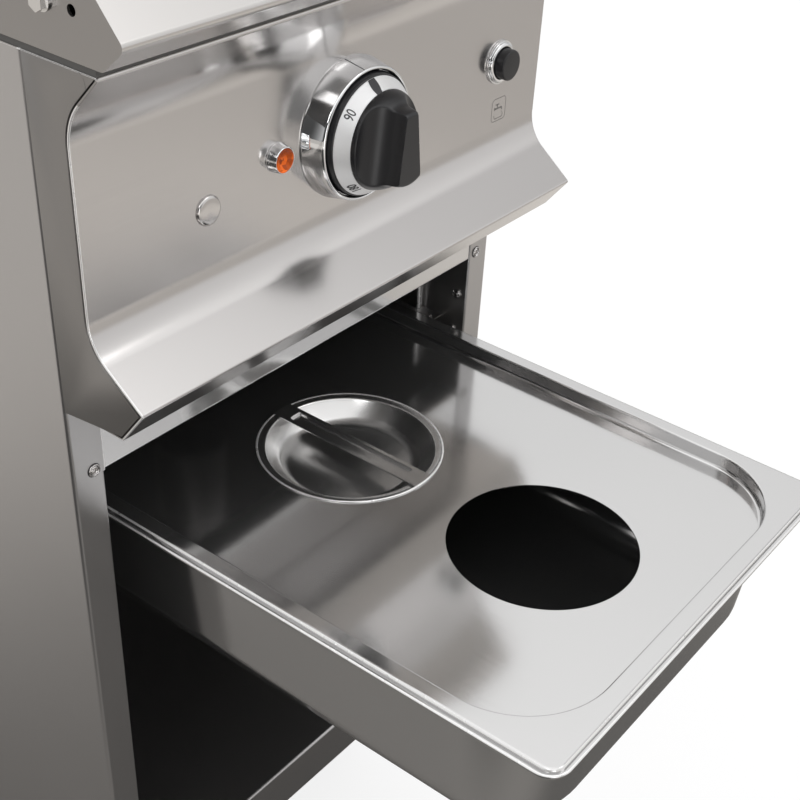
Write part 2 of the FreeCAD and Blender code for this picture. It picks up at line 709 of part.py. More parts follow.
def knob():
    """Thermostat knob: chrome bezel on the fascia, silver dial and black grip on one shaft."""
    centre = V(0, panel_y, dial_z)
    out = V(0, -1, 0)
    bezel = turned([(bezel_base_radius, 0), (bezel_base_radius, 1.2), (bezel_front_radius + 0.6, bezel_depth - 1.6),
                    (bezel_front_radius, bezel_depth - 0.4), (bezel_front_radius - 0.7, bezel_depth),
                    (bezel_bore_front, bezel_depth - 0.6), (bezel_bore_radius, bezel_depth - 3),
                    (bezel_bore_radius, 0)], centre, out)
    index = box(-0.8, 0.8, panel_y - bezel_depth + 0.5, panel_y, dial_z + bezel_bore_radius + 1,
                dial_z + bezel_front_radius + 1.4)
    save("knob_bezel", bezel.fuse(index).removeSplitter())

    skirt = bezel_bore_radius - 0.6
    back = 3.0
    front = dial_front - 0.6
    disc = turned([(0, back), (skirt, back), (skirt, bezel_depth - 1.5), (dial_outer_radius, front),
                   (dial_inner_radius - 0.4, dial_front + dial_rise - 0.6), (0, dial_front + dial_rise - 0.6)],
                  centre, out)
    base = dial_front + dial_rise
    dome = turned([(0, base - 1), (dial_inner_radius - 0.4, base - 1), (dial_inner_radius - 0.4, base),
                   (dial_inner_radius - 0.9, base + 2.4), (dial_inner_radius - 3.4, base + 8.0),
                   (grip_front_radius + 1.6, knob_front - 2.0), (grip_front_radius, knob_front),
                   (0, knob_front)], centre, out)
    scoop_y = panel_y - base - 2.6 - scoop_radius
    scoops = []
    for side_sign in (-1, 1):
        tilt = math.radians(grip_taper) * side_sign
        direction = V(-math.sin(tilt), 0, math.cos(tilt))
        start = V(side_sign * (scoop_radius + (grip_width + 4.0) / 2), scoop_y, dial_z) - direction * 60
        scoops.append(Part.makeCylinder(scoop_radius, 120, start, direction))
        wide = box(0, 40, scoop_y - 30, scoop_y, -60, 60)
        if side_sign < 0:
            wide = mirrored(wide)
        wide.rotate(V(0, 0, 0), V(0, 1, 0), -math.degrees(tilt))
        wide.translate(V(side_sign * (grip_width + 4.0) / 2, 0, dial_z))
        scoops.append(wide)
    body = disc.fuse(dome)
    for scoop in scoops:
        body = body.cut(scoop)
    hub = rod(shaft_radius + 0.02, centre, centre + out * (shaft_end - 0.5))
    hollow = turned([(shaft_radius + 4, back - 0.1), (skirt - 1.6, back - 0.1), (skirt - 1.6, bezel_depth - 4),
                     (shaft_radius + 4, bezel_depth - 4)], centre, out)
    body = body.cut(hollow).cut(hub)
    save("knob_grip", body.removeSplitter())

    dial = turned([(dial_outer_radius, front), (dial_outer_radius, dial_front - 0.1),
                   (dial_inner_radius - 0.4, base), (dial_inner_radius - 0.4, base - 0.6)], centre, out)
    save("dial_ring", dial)

    shaft = rod(shaft_radius, V(0, panel_back + shaft_back, dial_z), centre + out * (shaft_end - 0.5))
    save("thermostat_shaft", shaft)
    body_y = panel_back + 2.0
    rear_y = body_y + regulator_depth
    w = regulator_width / 2
    case = box(-w, w, body_y, rear_y, dial_z - w - 2, dial_z + w + 2)
    ears = box(-w - 8, w + 8, panel_back, body_y, dial_z - w / 2, dial_z + w / 2)
    bore = rod(shaft_radius + 0.05, V(0, panel_back - 1, dial_z), V(0, panel_back + shaft_back + 0.1, dial_z))
    save("thermostat_body", case.fuse(ears).cut(bore).removeSplitter())

    bulb_z = tank_bottom + bulb_rise
    bulb_y = tank_front - tank_wall - bulb_radius
    start = V(0, rear_y, dial_z - w / 2)
    behind = (rear_y + bulb_y) / 2
    route = [start, V(0, behind, start.z), V(bulb_length / 2, behind, bulb_z), V(bulb_length, bulb_y, bulb_z)]
    capillary = piped(route, capillary_radius, 5 * capillary_radius)
    bulb = rod(bulb_radius, V(bulb_length, bulb_y, bulb_z), V(2 * bulb_length, bulb_y, bulb_z))
    save("thermostat_bulb", capillary.fuse(bulb).removeSplitter())


def lamp_and_cap():
    centre = V(lamp_offset, panel_y, fascia_bottom + lamp_height)
    out = V(0, -1, 0)
    bezel = turned([(lamp_hole - 0.1, -8), (lamp_hole - 0.1, 0), (lamp_bezel_radius, 0),
                    (lamp_bezel_radius, lamp_reach - 0.6), (lamp_bezel_radius - 0.6, lamp_reach),
                    (lamp_radius - 0.2, lamp_reach), (lamp_radius - 0.4, lamp_reach - 3), (lamp_hole - 1.3, 0),
                    (lamp_hole - 1.3, -8)], centre, out)
    save("lamp_bezel", bezel)
    lens = turned([(0, -7), (lamp_hole - 1.4, -7), (lamp_hole - 1.4, 0), (lamp_radius - 0.6, lamp_reach - 3),
                   (lamp_radius - 0.4, lamp_reach - 0.4), (lamp_radius - 2, lamp_reach + 0.4),
                   (0, lamp_reach + 0.9)], centre, out)
    save("lamp_lens", lens)
    body = turned([(0, -lamp_length), (lamp_hole - 0.6, -lamp_length), (lamp_hole - 0.6, -8.0), (0, -8.0)],
                  centre, out)
    nut = tube(lamp_bezel_radius + 1.2, lamp_hole - 0.05, centre + V(0, sheet, 0), centre + V(0, sheet + 3, 0))
    save("lamp_body", body)
    save("lamp_nut", nut)

    centre = V(cap_offset, panel_y, fascia_bottom + cap_height)
    cap = turned([(0, -7), (cap_hole - 0.6, -7), (cap_hole - 0.2, -1.4), (cap_hole - 0.2, 0), (cap_radius, 0),
                  (cap_radius, 0.9), (cap_radius - 0.9, 1.7), (0, 1.9)], centre, out)
    save("blanking_cap", cap)


def push_button():
    """The water-fill push button: ring, moving cap, return spring and switch."""
    centre = V(button_offset, panel_y, fascia_bottom + button_height)
    out = V(0, -1, 0)
    bore = button_radius + 0.25
    ring = turned([(button_hole - 0.1, -10), (button_hole - 0.1, 0), (button_ring_radius, 0),
                   (button_ring_radius, 1.2), (button_ring_radius - 1.6, button_ring_reach),
                   (bore + 0.4, button_ring_reach), (bore, button_ring_reach - 0.5), (bore, -10)], centre, out)
    save("button_ring", ring)
    cap = turned([(0, 2 - 10), (4, 2 - 10), (4, -2), (button_radius, -2), (button_radius, button_reach - 0.8),
                  (button_radius - 0.8, button_reach), (0, button_reach)], centre, out)
    cap = cap.cut(rod(2.6, centre + V(0, 9, 0), centre + V(0, -1, 0)))
    save("button_cap", cap)
    wide = switch_width / 2
    switch = box(button_offset - wide, button_offset + wide, panel_y + 12.0, panel_y + 12.0 + switch_length,
                 centre.z - wide, centre.z + wide)
    collar = tube(bore + 0.1, 6.0, centre + V(0, 10.0, 0), centre + V(0, 12.0, 0))
    save("button_switch", switch.fuse(collar).removeSplitter())
    spring = spring_coils(centre + V(0, 2.0, 0), 6, 5.2, 0.62)
    save("button_spring", spring)
    nut = tube(button_ring_radius + 1.6, button_hole - 0.05, centre + V(0, sheet, 0),
               centre + V(0, sheet + 4, 0))
    save("button_nut", nut)


def spring_coils(start, count, radius, wire):
    """A pressed compression spring along +Y: its coils lie against each other."""
    coils = []
    for index in range(count):
        centre = start + V(0, wire + index * wire * 1.8, 0)
        coils.append(Part.makeTorus(radius, wire, centre, V(0, 1, 0)))
    return coils[0].fuse(coils[1:]).removeSplitter()


def electrics():
    """What stands on the compartment tray: terminal block, contactor and safety thermostat."""
    shelf = tray_z + sheet
    y = post_return + 4
    seat = shelf + rail_strip
    middle = y + device_depth / 2
    left = -rail_reach + block_pitch
    right = left + contactor_width
    save("device_rail", box(-rail_reach, rail_reach, middle - rail_strip, middle + rail_strip, shelf, seat))
    save("contactor", box(left, right, y, y + device_depth, seat, seat + contactor_height))
    blocks = []
    for index in range(block_count):
        left = right + block_pitch * (index + 1)
        blocks.append(box(left, left + block_pitch - slip, y + rail_strip, y + device_depth - rail_strip,
                          seat, seat + block_height))
    save("terminal_blocks", *blocks)
    left += 2 * block_pitch
    safety = box(left, left + safety_width, y, y + device_depth, seat, seat + block_height)
    button = V(left + safety_width / 2, middle, seat + block_height)
    reset = rod(stem_radius, button, button + V(0, 0, plug_rise))
    save("safety_thermostat", safety.fuse(reset).removeSplitter())

    back_y = cabinet_depth - 2 * sheet
    gland = V(gland_x, back_y, gland_z)
    bore = gland_radius - gland_wall
    flats = 2 * gland_radius + 5
    body = tube(gland_radius, bore, gland - V(0, gland_length, 0), gland + V(0, sheet, 0))
    nut_out = hex_prism(flats, gland + V(0, sheet, 0), gland_length, V(0, 1, 0))
    nut_out = nut_out.cut(rod(bore, gland, gland + V(0, 2 * gland_length, 0)))
    save("cable_gland", body.fuse(nut_out).removeSplitter())
    nut_in = hex_prism(flats, gland - V(0, gland_length / 2, 0), gland_length / 2, V(0, 1, 0))
    save("gland_nut", nut_in.cut(rod(gland_radius + 0.05, gland - V(0, gland_length, 0), gland + V(0, 2, 0))))

    # the hose thread stands clear of the back panel on a thinner neck
    inlet = V(inlet_x, back_y, inlet_z)
    thread = inlet + V(0, inlet_neck, 0)
    bore = inlet_radius - inlet_wall
    neck = tube(inlet_neck_radius, bore, inlet, thread)
    stub = tube(inlet_radius, bore, thread, thread + V(0, inlet_length, 0))
    w = valve_width / 2
    middle = back_y - w
    valve = box(inlet_x - w, inlet_x + w, back_y - valve_width, back_y, inlet_z - w, inlet_z + w)
    coil = rod(coil_radius, V(inlet_x - w, middle, inlet_z), V(inlet_x - w - coil_length, middle, inlet_z))
    save("water_valve", valve.fuse([neck, stub, coil]).removeSplitter())
    nozzle_mouth = V(inlet_x, tank_back - nozzle_reach, nozzle_z)
    route = [V(inlet_x, middle, inlet_z + w), V(inlet_x, middle, nozzle_z), nozzle_mouth]
    save("fill_pipe", piped(route, nozzle_radius, 2.2 * nozzle_radius))


def rivets():
    heads = []
    for x in (-rivet_x, rivet_x):
        seat = V(x, 0, rivet_z)
        body = rivet_hole - 0.1
        head = turned([(0, -rivet_length), (body, -rivet_length), (body, 0), (rivet_head, 0),
                       (0.84 * rivet_head, 0.3 * rivet_head), (0.47 * rivet_head, 0.4 * rivet_head),
                       (0.4 * rivet_head, 0.16 * rivet_head), (0, 0.16 * rivet_head)], seat, V(0, -1, 0))
        heads.append(head)
    save("post_rivets", *heads)


# Smaller sizes that only one or two pieces use
rail_return = 8.0
rail_flange = 22.0
rail_gap = 1.7
post_fold = 1.5
tray_upstand = 20.0
rivet_inset = 15.0
rivet_drop = 50.2
rivet_hole = 2.1
rivet_head = 3.8
rivet_length = 4.2
rivet_x = half - rivet_inset
rivet_z = fascia_bottom - rivet_drop
vent_rows = 8
vent_rise = 30.0
vent_pitch = 14.0
vent_slot = 5.0
vent_inset = 105.0
vent_length = 90.0
vent_x = half - vent_inset
vent_bottom = tray_z + vent_rise
gland_inset = 60.0
gland_rise = 40.0
gland_radius = 12.5
gland_wall = 3.0
gland_length = 14.0
gland_x = gland_inset - half
gland_z = tray_z + gland_rise
inlet_inset = 70.0
inlet_rise = 60.0
inlet_radius = 13.0
inlet_neck_radius = 11.0
inlet_neck = 4.0
inlet_wall = 3.5
inlet_length = 18.0
inlet_x = half - inlet_inset
inlet_z = tray_z + inlet_rise
valve_width = 36.0
coil_radius = 14.0
coil_length = 30.0
nozzle_radius = 8.0
nozzle_drop = 40.0
nozzle_reach = 14.0
nozzle_z = worktop_top - nozzle_drop
foot_inset = 50.0
foot_front = 110.0
foot_rear_inset = 67.4
foot_tube = 20.0
foot_tube_wall = 1.5
foot_rise = 25.0
foot_bolt = 6.0
foot_bolt_length = 60.0
foot_plug_height = 18.0
foot_x = half - foot_inset
foot_rear = cabinet_depth - foot_rear_inset
join_hole_y = -38.8
join_bolt_y = -20.2
join_rise = 23.0
join_hole_radius = 2.75
join_z = worktop_bottom + join_rise
bolt_radius = 2.5
bolt_length = 9.0
bolt_flats = 8.0
bolt_head = 3.5
tank_floor_corner = 10.5
element_radius = 4.25
element_count = 3
element_margin = 40.0
element_front_inset = 110.0
element_back_inset = 40.0
element_pitch = (tank_width - 2 * element_margin) / (element_count - 0.5)
element_gap = element_pitch / 2
element_front = tank_front + element_front_inset
element_back = tank_back - element_back_inset
clamp_inset = 15.0
clamp_margin = 12.0
clamp_thickness = 4.0
wool_thickness = 25.0
plug_seal_thickness = 2.0
plug_stem = 110.0
plug_rise = 6.0
plug_bar_radius = 5.0
plug_bar_reach = 32.0
stem_radius = 4.0
bracket_front = 3.0
bracket_width = 41.0
bracket_flange = 6.0
bracket_drop = 44.0
bracket_rise = 46.0
shelf_offset = 20.0
shelf_width = 18.0
upper_screw_inset = 5.9
upper_screw_rise = 24.6
lower_screw_inset = 8.5
lower_screw_drop = 7.5
screw_radius = 1.95
screw_head = 3.6
screw_length = 5.0
runner_front = 22.0
upright_rear_inset = 117.4
upright_rear = cabinet_depth - upright_rear_inset
shaft_back = 20.0
shaft_end = 38.0
regulator_width = 44.0
regulator_depth = 30.0
bulb_radius = 3.0
bulb_rise = 40.0
bulb_length = 75.0
capillary_radius = 1.2
lamp_hole = 6.0
lamp_length = 30.0
cap_hole = 7.0
button_hole = 12.0
switch_width = 25.0
switch_length = 26.0
rail_reach = 118.0
rail_strip = 3.0
device_depth = 29.0
contactor_width = 45.0
contactor_height = 47.0
block_count = 5
block_pitch = 11.0
block_height = 33.0
safety_width = 30.0

cabinet_shell()
compartment_tray()
fascia()
worktop()
tank()
drain_plug()
container()
lid()
dish()
runners()
feet()
knob()
lamp_and_cap()
push_button()
electrics()
rivets()
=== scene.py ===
import json
import math

import bmesh
import bpy
from mathutils import Matrix, Vector


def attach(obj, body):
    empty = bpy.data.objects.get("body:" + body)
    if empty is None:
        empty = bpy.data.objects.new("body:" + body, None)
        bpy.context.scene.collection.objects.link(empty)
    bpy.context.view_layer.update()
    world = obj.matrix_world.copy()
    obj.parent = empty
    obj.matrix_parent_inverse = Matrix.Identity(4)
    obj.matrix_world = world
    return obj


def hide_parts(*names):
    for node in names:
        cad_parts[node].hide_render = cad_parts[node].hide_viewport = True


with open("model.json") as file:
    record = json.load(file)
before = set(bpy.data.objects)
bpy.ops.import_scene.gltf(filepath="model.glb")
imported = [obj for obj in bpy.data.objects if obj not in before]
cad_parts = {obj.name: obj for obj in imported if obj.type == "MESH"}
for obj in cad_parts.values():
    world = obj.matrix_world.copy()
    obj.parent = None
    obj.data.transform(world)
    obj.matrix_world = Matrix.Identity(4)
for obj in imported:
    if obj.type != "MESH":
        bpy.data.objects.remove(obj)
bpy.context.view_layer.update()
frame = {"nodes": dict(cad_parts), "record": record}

# Sizes are in millimetres in the cabinet's own frame: X across with 0 at the middle, Y back from the
# cabinet's front plane, Z up from the floor. spot() turns such a point into metres in the part's frame.
SHIFT = -160.8
FASCIA_BOTTOM = 623.7
SIDE_TOP = 819.5
HALF = 200.0
PANEL_Y = -27.4
DIAL_Z = FASCIA_BOTTOM + 109.2
SHEET = 1.2

DRAWER_FRONT = -308.4
CONTAINER_WIDTH = 325.0
CONTAINER_LENGTH = 530.0
CONTAINER_BOTTOM = 417.6
FLANGE_TOP = 517.6
LID_TOP = 520.5
PLATE_Z = 509.9
DISH_Y = -35.6
FRONT_HOLE_Y = -192.4
HOLE_RADIUS = 60.8


def spot(x, y, z):
    return Vector((x, y + SHIFT, z)) / 1000


# Materials

def new_material(name):
    material = bpy.data.materials.new(name)
    material.use_nodes = True
    return material, material.node_tree.nodes, material.node_tree.links


def plain(name, color, metallic=0.0, roughness=0.5, coat=0.0, mottle=0.0, size=40.0):
    """A finish whose roughness changes a little over soft patches."""
    material, nodes, links = new_material(name)
    shader = nodes["Principled BSDF"]
    shader.inputs["Base Color"].default_value = (*color, 1)
    shader.inputs["Metallic"].default_value = metallic
    shader.inputs["Roughness"].default_value = roughness
    shader.inputs["Coat Weight"].default_value = coat
    if mottle:
        place = nodes.new("ShaderNodeTexCoord")
        noise = nodes.new("ShaderNodeTexNoise")
        noise.inputs["Scale"].default_value = size
        noise.inputs["Detail"].default_value = 3.0
        span = nodes.new("ShaderNodeMapRange")
        span.inputs["To Min"].default_value = roughness - mottle
        span.inputs["To Max"].default_value = roughness + mottle
        links.new(place.outputs["Object"], noise.inputs["Vector"])
        links.new(noise.outputs["Fac"], span.inputs["Value"])
        links.new(span.outputs["Result"], shader.inputs["Roughness"])
    return material


def rolled(name, color, roughness, grain, strength, spread, side=1.0, brushed=0.0, cloud=0.012):
    """Rolled steel: faint lines along the sheet in its shine, and a slow drift of its tone.

    grain is the noise scale along X, Y and Z, which is large across the lines. side scales the tone
    of faces that look sideways, a painted shade that darkens them. brushed stretches reflections across lines that run
    along X."""
    material, nodes, links = new_material(name)
    shader = nodes["Principled BSDF"]
    shader.inputs["Metallic"].default_value = 0.96
    place = nodes.new("ShaderNodeTexCoord")
    stretch = nodes.new("ShaderNodeMapping")
    stretch.inputs["Scale"].default_value = grain
    lines = nodes.new("ShaderNodeTexNoise")
    lines.inputs["Scale"].default_value = 1.0
    lines.inputs["Detail"].default_value = 3.0
    lines.inputs["Roughness"].default_value = 0.55
    span = nodes.new("ShaderNodeMapRange")
    span.inputs["From Min"].default_value = 0.3
    span.inputs["From Max"].default_value = 0.7
    span.inputs["To Min"].default_value = roughness - spread
    span.inputs["To Max"].default_value = roughness + spread
    bump = nodes.new("ShaderNodeBump")
    bump.inputs["Strength"].default_value = strength
    bump.inputs["Distance"].default_value = 0.0001
    drift = nodes.new("ShaderNodeTexNoise")
    drift.inputs["Scale"].default_value = 7.0
    drift.inputs["Detail"].default_value = 2.0
    tone = nodes.new("ShaderNodeMix")
    tone.data_type = "RGBA"
    tone.inputs[6].default_value = (*[c - cloud for c in color], 1)
    tone.inputs[7].default_value = (*[c + cloud for c in color], 1)
    links.new(place.outputs["Object"], stretch.inputs["Vector"])
    links.new(stretch.outputs["Vector"], lines.inputs["Vector"])
    links.new(lines.outputs["Fac"], span.inputs["Value"])
    links.new(span.outputs["Result"], shader.inputs["Roughness"])
    links.new(lines.outputs["Fac"], bump.inputs["Height"])
    links.new(bump.outputs["Normal"], shader.inputs["Normal"])
    links.new(place.outputs["Object"], drift.inputs["Vector"])
    links.new(drift.outputs["Fac"], tone.inputs[0])
    result = tone.outputs[2]
    if side != 1.0 or brushed:
        surface = nodes.new("ShaderNodeNewGeometry")
    # painted shade: faces that look along X get a darker tone, down to side times the colour
    if side != 1.0:
        parts = nodes.new("ShaderNodeSeparateXYZ")
        size = nodes.new("ShaderNodeMath")
        size.operation = "ABSOLUTE"
        share = nodes.new("ShaderNodeMapRange")
        share.inputs["From Min"].default_value = 0.7
        share.inputs["From Max"].default_value = 1.0
        share.inputs["To Min"].default_value = 1.0
        share.inputs["To Max"].default_value = side
        scale = nodes.new("ShaderNodeVectorMath")
        scale.operation = "SCALE"
        links.new(surface.outputs["Normal"], parts.inputs[0])
        links.new(parts.outputs["X"], size.inputs[0])
        links.new(size.outputs[0], share.inputs["Value"])
        links.new(share.outputs["Result"], scale.inputs["Scale"])
        links.new(result, scale.inputs[0])
        result = scale.outputs["Vector"]
    if brushed:
        shader.inputs["Anisotropic"].default_value = brushed
        across = nodes.new("ShaderNodeVectorMath")
        across.operation = "CROSS_PRODUCT"
        across.inputs[1].default_value = (1, 0, 0)
        links.new(surface.outputs["Normal"], across.inputs[0])
        links.new(across.outputs["Vector"], shader.inputs["Tangent"])
    links.new(result, shader.inputs["Base Color"])
    return material


def glowing(name, color, glow):
    """The lit lens of a lamp: faceted glass that is brighter towards its foot."""
    material = plain(name, color, 0.0, 0.25)
    nodes = material.node_tree.nodes
    links = material.node_tree.links
    shader = nodes["Principled BSDF"]
    shader.inputs["Specular IOR Level"].default_value = 0.25
    shader.inputs["Emission Color"].default_value = (*glow, 1)
    place = nodes.new("ShaderNodeTexCoord")
    facets = nodes.new("ShaderNodeTexVoronoi")
    facets.inputs["Scale"].default_value = 420.0
    height = nodes.new("ShaderNodeSeparateXYZ")
    fade = nodes.new("ShaderNodeMapRange")
    fade.inputs["From Min"].default_value = (DIAL_Z - 6.0) / 1000
    fade.inputs["From Max"].default_value = (DIAL_Z + 5.0) / 1000
    fade.inputs["To Min"].default_value = 0.62
    fade.inputs["To Max"].default_value = 0.10
    bright = nodes.new("ShaderNodeMapRange")
    bright.inputs["To Min"].default_value = 1.7
    bright.inputs["To Max"].default_value = 0.0
    total = nodes.new("ShaderNodeMath")
    total.operation = "MULTIPLY"
    links.new(place.outputs["Object"], facets.inputs["Vector"])
    links.new(place.outputs["Object"], height.inputs[0])
    links.new(height.outputs["Z"], fade.inputs["Value"])
    links.new(facets.outputs["Color"], bright.inputs["Value"])
    links.new(fade.outputs["Result"], total.inputs[0])
    links.new(bright.outputs["Result"], total.inputs[1])
    links.new(total.outputs[0], shader.inputs["Emission Strength"])
    return material


STEEL = (0.61, 0.591, 0.582)
MATERIALS = {
    "panel_steel": rolled("panel_steel", (0.458, 0.449, 0.447), 0.30, (700, 700, 10), 0.004, 0.015),
    # side=0.5 paints shade on the fascia's faces that look sideways
    "fascia_steel": rolled("fascia_steel", STEEL, 0.19, (3, 900, 900), 0.0015, 0.012, side=0.5, brushed=0.6),
    "pressed_steel": rolled("pressed_steel", (0.59, 0.586, 0.584), 0.125, (300, 12, 300), 0.01, 0.012),
    "bright_steel": plain("bright_steel", (0.66, 0.65, 0.64), 1.0, 0.18, mottle=0.05),
    "chrome": plain("chrome", (0.80, 0.805, 0.81), 1.0, 0.045, mottle=0.01),
    "silver": plain("silver", (0.93, 0.935, 0.94), 0.5, 0.45, mottle=0.006, size=300.0),
    "black_plastic": plain("black_plastic", (0.011, 0.011, 0.013), 0.0, 0.33, mottle=0.04, size=200.0),
    "pale_plastic": plain("pale_plastic", (0.72, 0.71, 0.67), 0.0, 0.45, mottle=0.04),
    "lens": glowing("lens", (0.16, 0.02, 0.003), (1.0, 0.18, 0.012)),
    "rubber": plain("rubber", (0.025, 0.025, 0.025), 0.0, 0.7, mottle=0.08),
    "heater_metal": plain("heater_metal", (0.25, 0.24, 0.23), 1.0, 0.5, mottle=0.08),
    "aluminium": plain("aluminium", (0.7, 0.7, 0.71), 1.0, 0.35, mottle=0.05),
    "wool": plain("wool", (0.75, 0.72, 0.62), 0.0, 0.9, mottle=0.05),
}
RAIL_STEEL = rolled("rail_steel", (0.66, 0.655, 0.652), 0.13, (8, 500, 500), 0.006, 0.02)
CHEEK_STEEL = rolled("cheek_steel", (0.27, 0.262, 0.257), 0.30, (700, 700, 10), 0.003, 0.015, cloud=0.006)
# side=0.48 paints shade on the worktop's faces that look sideways
WORKTOP_STEEL = rolled("worktop_steel", (0.66, 0.64, 0.625), 0.22, (3, 800, 800), 0.003, 0.015, side=0.48)
DISH_STEEL = rolled("dish_steel", (0.68, 0.675, 0.67), 0.22, (200, 200, 200), 0.002, 0.008)
SEAL_GREY = plain("seal_grey", (0.09, 0.088, 0.085), 0.0, 0.55, mottle=0.05)
CAP_STEEL = plain("cap_steel", (0.64, 0.62, 0.61), 1.0, 0.15, mottle=0.02)
# A paler, less metallic steel laid in thin bands along rounded edges: painted highlights.
HIGHLIGHT_STEEL = plain("highlight_steel", (0.85, 0.845, 0.84), 0.6, 0.28, mottle=0.05)
DARK_INK = plain("dark_ink", (0.045, 0.045, 0.05), 0.0, 0.45, mottle=0.05)
PALE_INK = plain("pale_ink", (0.75, 0.75, 0.75), 0.0, 0.5, mottle=0.05)
SIGN_INK = plain("sign_ink", (0.20, 0.195, 0.19), 0.5, 0.4, mottle=0.05)

for part in frame["record"]["subparts"]:
    node = frame["nodes"][part["node"]]
    node.data.materials.clear()
    node.data.materials.append(MATERIALS[part["material_slot"]])
frame["nodes"]["cross_rail"].data.materials[0] = RAIL_STEEL
frame["nodes"]["worktop"].data.materials[0] = WORKTOP_STEEL
frame["nodes"]["worktop_seal"].data.materials[0] = SEAL_GREY


# Mesh making. Shapes are lists of points in millimetres and faces that index them.

def piece(name, shape, body, slot, replaced=(), material=None, sharp=35):
    points, faces = shape
    mesh = bpy.data.meshes.new(name)
    mesh.from_pydata([spot(*point) for point in points], [], faces)
    tidy = bmesh.new()
    tidy.from_mesh(mesh)
    bmesh.ops.remove_doubles(tidy, verts=tidy.verts, dist=2e-6)
    bmesh.ops.recalc_face_normals(tidy, faces=tidy.faces)
    tidy.to_mesh(mesh)
    tidy.free()
    mesh.shade_smooth()
    mesh.set_sharp_from_angle(angle=math.radians(sharp))
    mesh.materials.append(material or MATERIALS[slot])
    made = bpy.data.objects.new(name, mesh)
    bpy.context.scene.collection.objects.link(made)
    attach(made, body)
    if replaced:
        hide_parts(*replaced)
    return made


def settle(made):
    """Applies the object's modifiers to its mesh."""
    graph = bpy.context.evaluated_depsgraph_get()
    mesh = bpy.data.meshes.new_from_object(made.evaluated_get(graph))
    made.modifiers.clear()
    made.data = mesh


def even_shading(made):
    """Keeps large flat faces flat where a curve runs into them."""
    weigh = made.modifiers.new("weigh", "WEIGHTED_NORMAL")
    weigh.keep_sharp = True
    weigh.weight = 90
    settle(made)


def joined(*shapes):
    points = []
    faces = []
    for some_points, some_faces in shapes:
        start = len(points)
        points += some_points
        faces += [tuple(index + start for index in face) for face in some_faces]
    return points, faces


def bridged(loops, cap_first=False, cap_last=False, looped=False):
    """Quads between closed loops that have the same number of points."""
    count = len(loops[0])
    points = [point for loop in loops for point in loop]
    faces = []
    pairs = len(loops) if looped else len(loops) - 1
    for row in range(pairs):
        low = row * count
        high = (row + 1) % len(loops) * count
        for index in range(count):
            after = (index + 1) % count
            faces.append((low + index, low + after, high + after, high + index))
    if cap_first:
        faces.append(tuple(reversed(range(count))))
    if cap_last:
        start = (len(loops) - 1) * count
        faces.append(tuple(range(start, start + count)))
    return points, faces


def banded(rows):
    """Quads between open lines that have the same number of points."""
    count = len(rows[0])
    points = [point for row in rows for point in row]
    faces = []
    for row in range(len(rows) - 1):
        for index in range(count - 1):
            corner = row * count + index
            faces.append((corner, corner + 1, corner + count + 1, corner + count))
    return points, faces


def turned(profile, centre, steps=128, upright=False, looped=True):
    """A turned body: profile points are (radius, distance) along -Y, or along +Z when upright."""
    loops = []
    for radius, along in profile:
        loop = []
        for step in range(steps):
            angle = 2 * math.pi * step / steps
            across = radius * math.sin(angle)
            rise = radius * math.cos(angle)
            if upright:
                loop.append((centre[0] + across, centre[1] + rise, centre[2] + along))
            else:
                loop.append((centre[0] + across, centre[1] - along, centre[2] + rise))
        loops.append(loop)
    return bridged(loops, looped=looped)


def rounded(points, radii, steps=10):
    """A 2-D polyline whose inner corners are replaced by arcs; the ends stay."""
    path = [points[0]]
    for index in range(1, len(points) - 1):
        corner = Vector(points[index])
        before = (Vector(points[index - 1]) - corner).normalized()
        after = (Vector(points[index + 1]) - corner).normalized()
        radius = radii[index - 1]
        turn = before.angle(after)
        if radius <= 0 or abs(math.pi - turn) < 1e-4:
            path.append(tuple(corner))
            continue
        reach = radius / math.tan(turn / 2)
        middle = corner + (before + after).normalized() * (radius / math.sin(turn / 2))
        first = corner + before * reach - middle
        last = corner + after * reach - middle
        swing = first.angle_signed(last)
        for step in range(steps + 1):
            angle = swing * step / steps
            path.append(tuple(middle + Matrix.Rotation(-angle, 2) @ first))
    path.append(points[-1])
    return path


def rounded_ring(x_half, y0, y1, radius, z, steps=16):
    """A level loop round a rectangle with rounded corners."""
    loop = []
    for cx, cy, start in ((x_half - radius, y1 - radius, 0), (-x_half + radius, y1 - radius, 90),
                          (-x_half + radius, y0 + radius, 180), (x_half - radius, y0 + radius, 270)):
        for step in range(steps + 1):
            angle = math.radians(start + 90 * step / steps)
            loop.append((cx + radius * math.cos(angle), cy + radius * math.sin(angle), z))
    return loop


def rim_ring(inset, radius, z, end_inset=None):
    """A loop at the given inset from the container's outline."""
    end = inset if end_inset is None else end_inset
    return rounded_ring(CONTAINER_WIDTH / 2 - inset, DRAWER_FRONT + end,
                        DRAWER_FRONT + CONTAINER_LENGTH - end, radius, z)


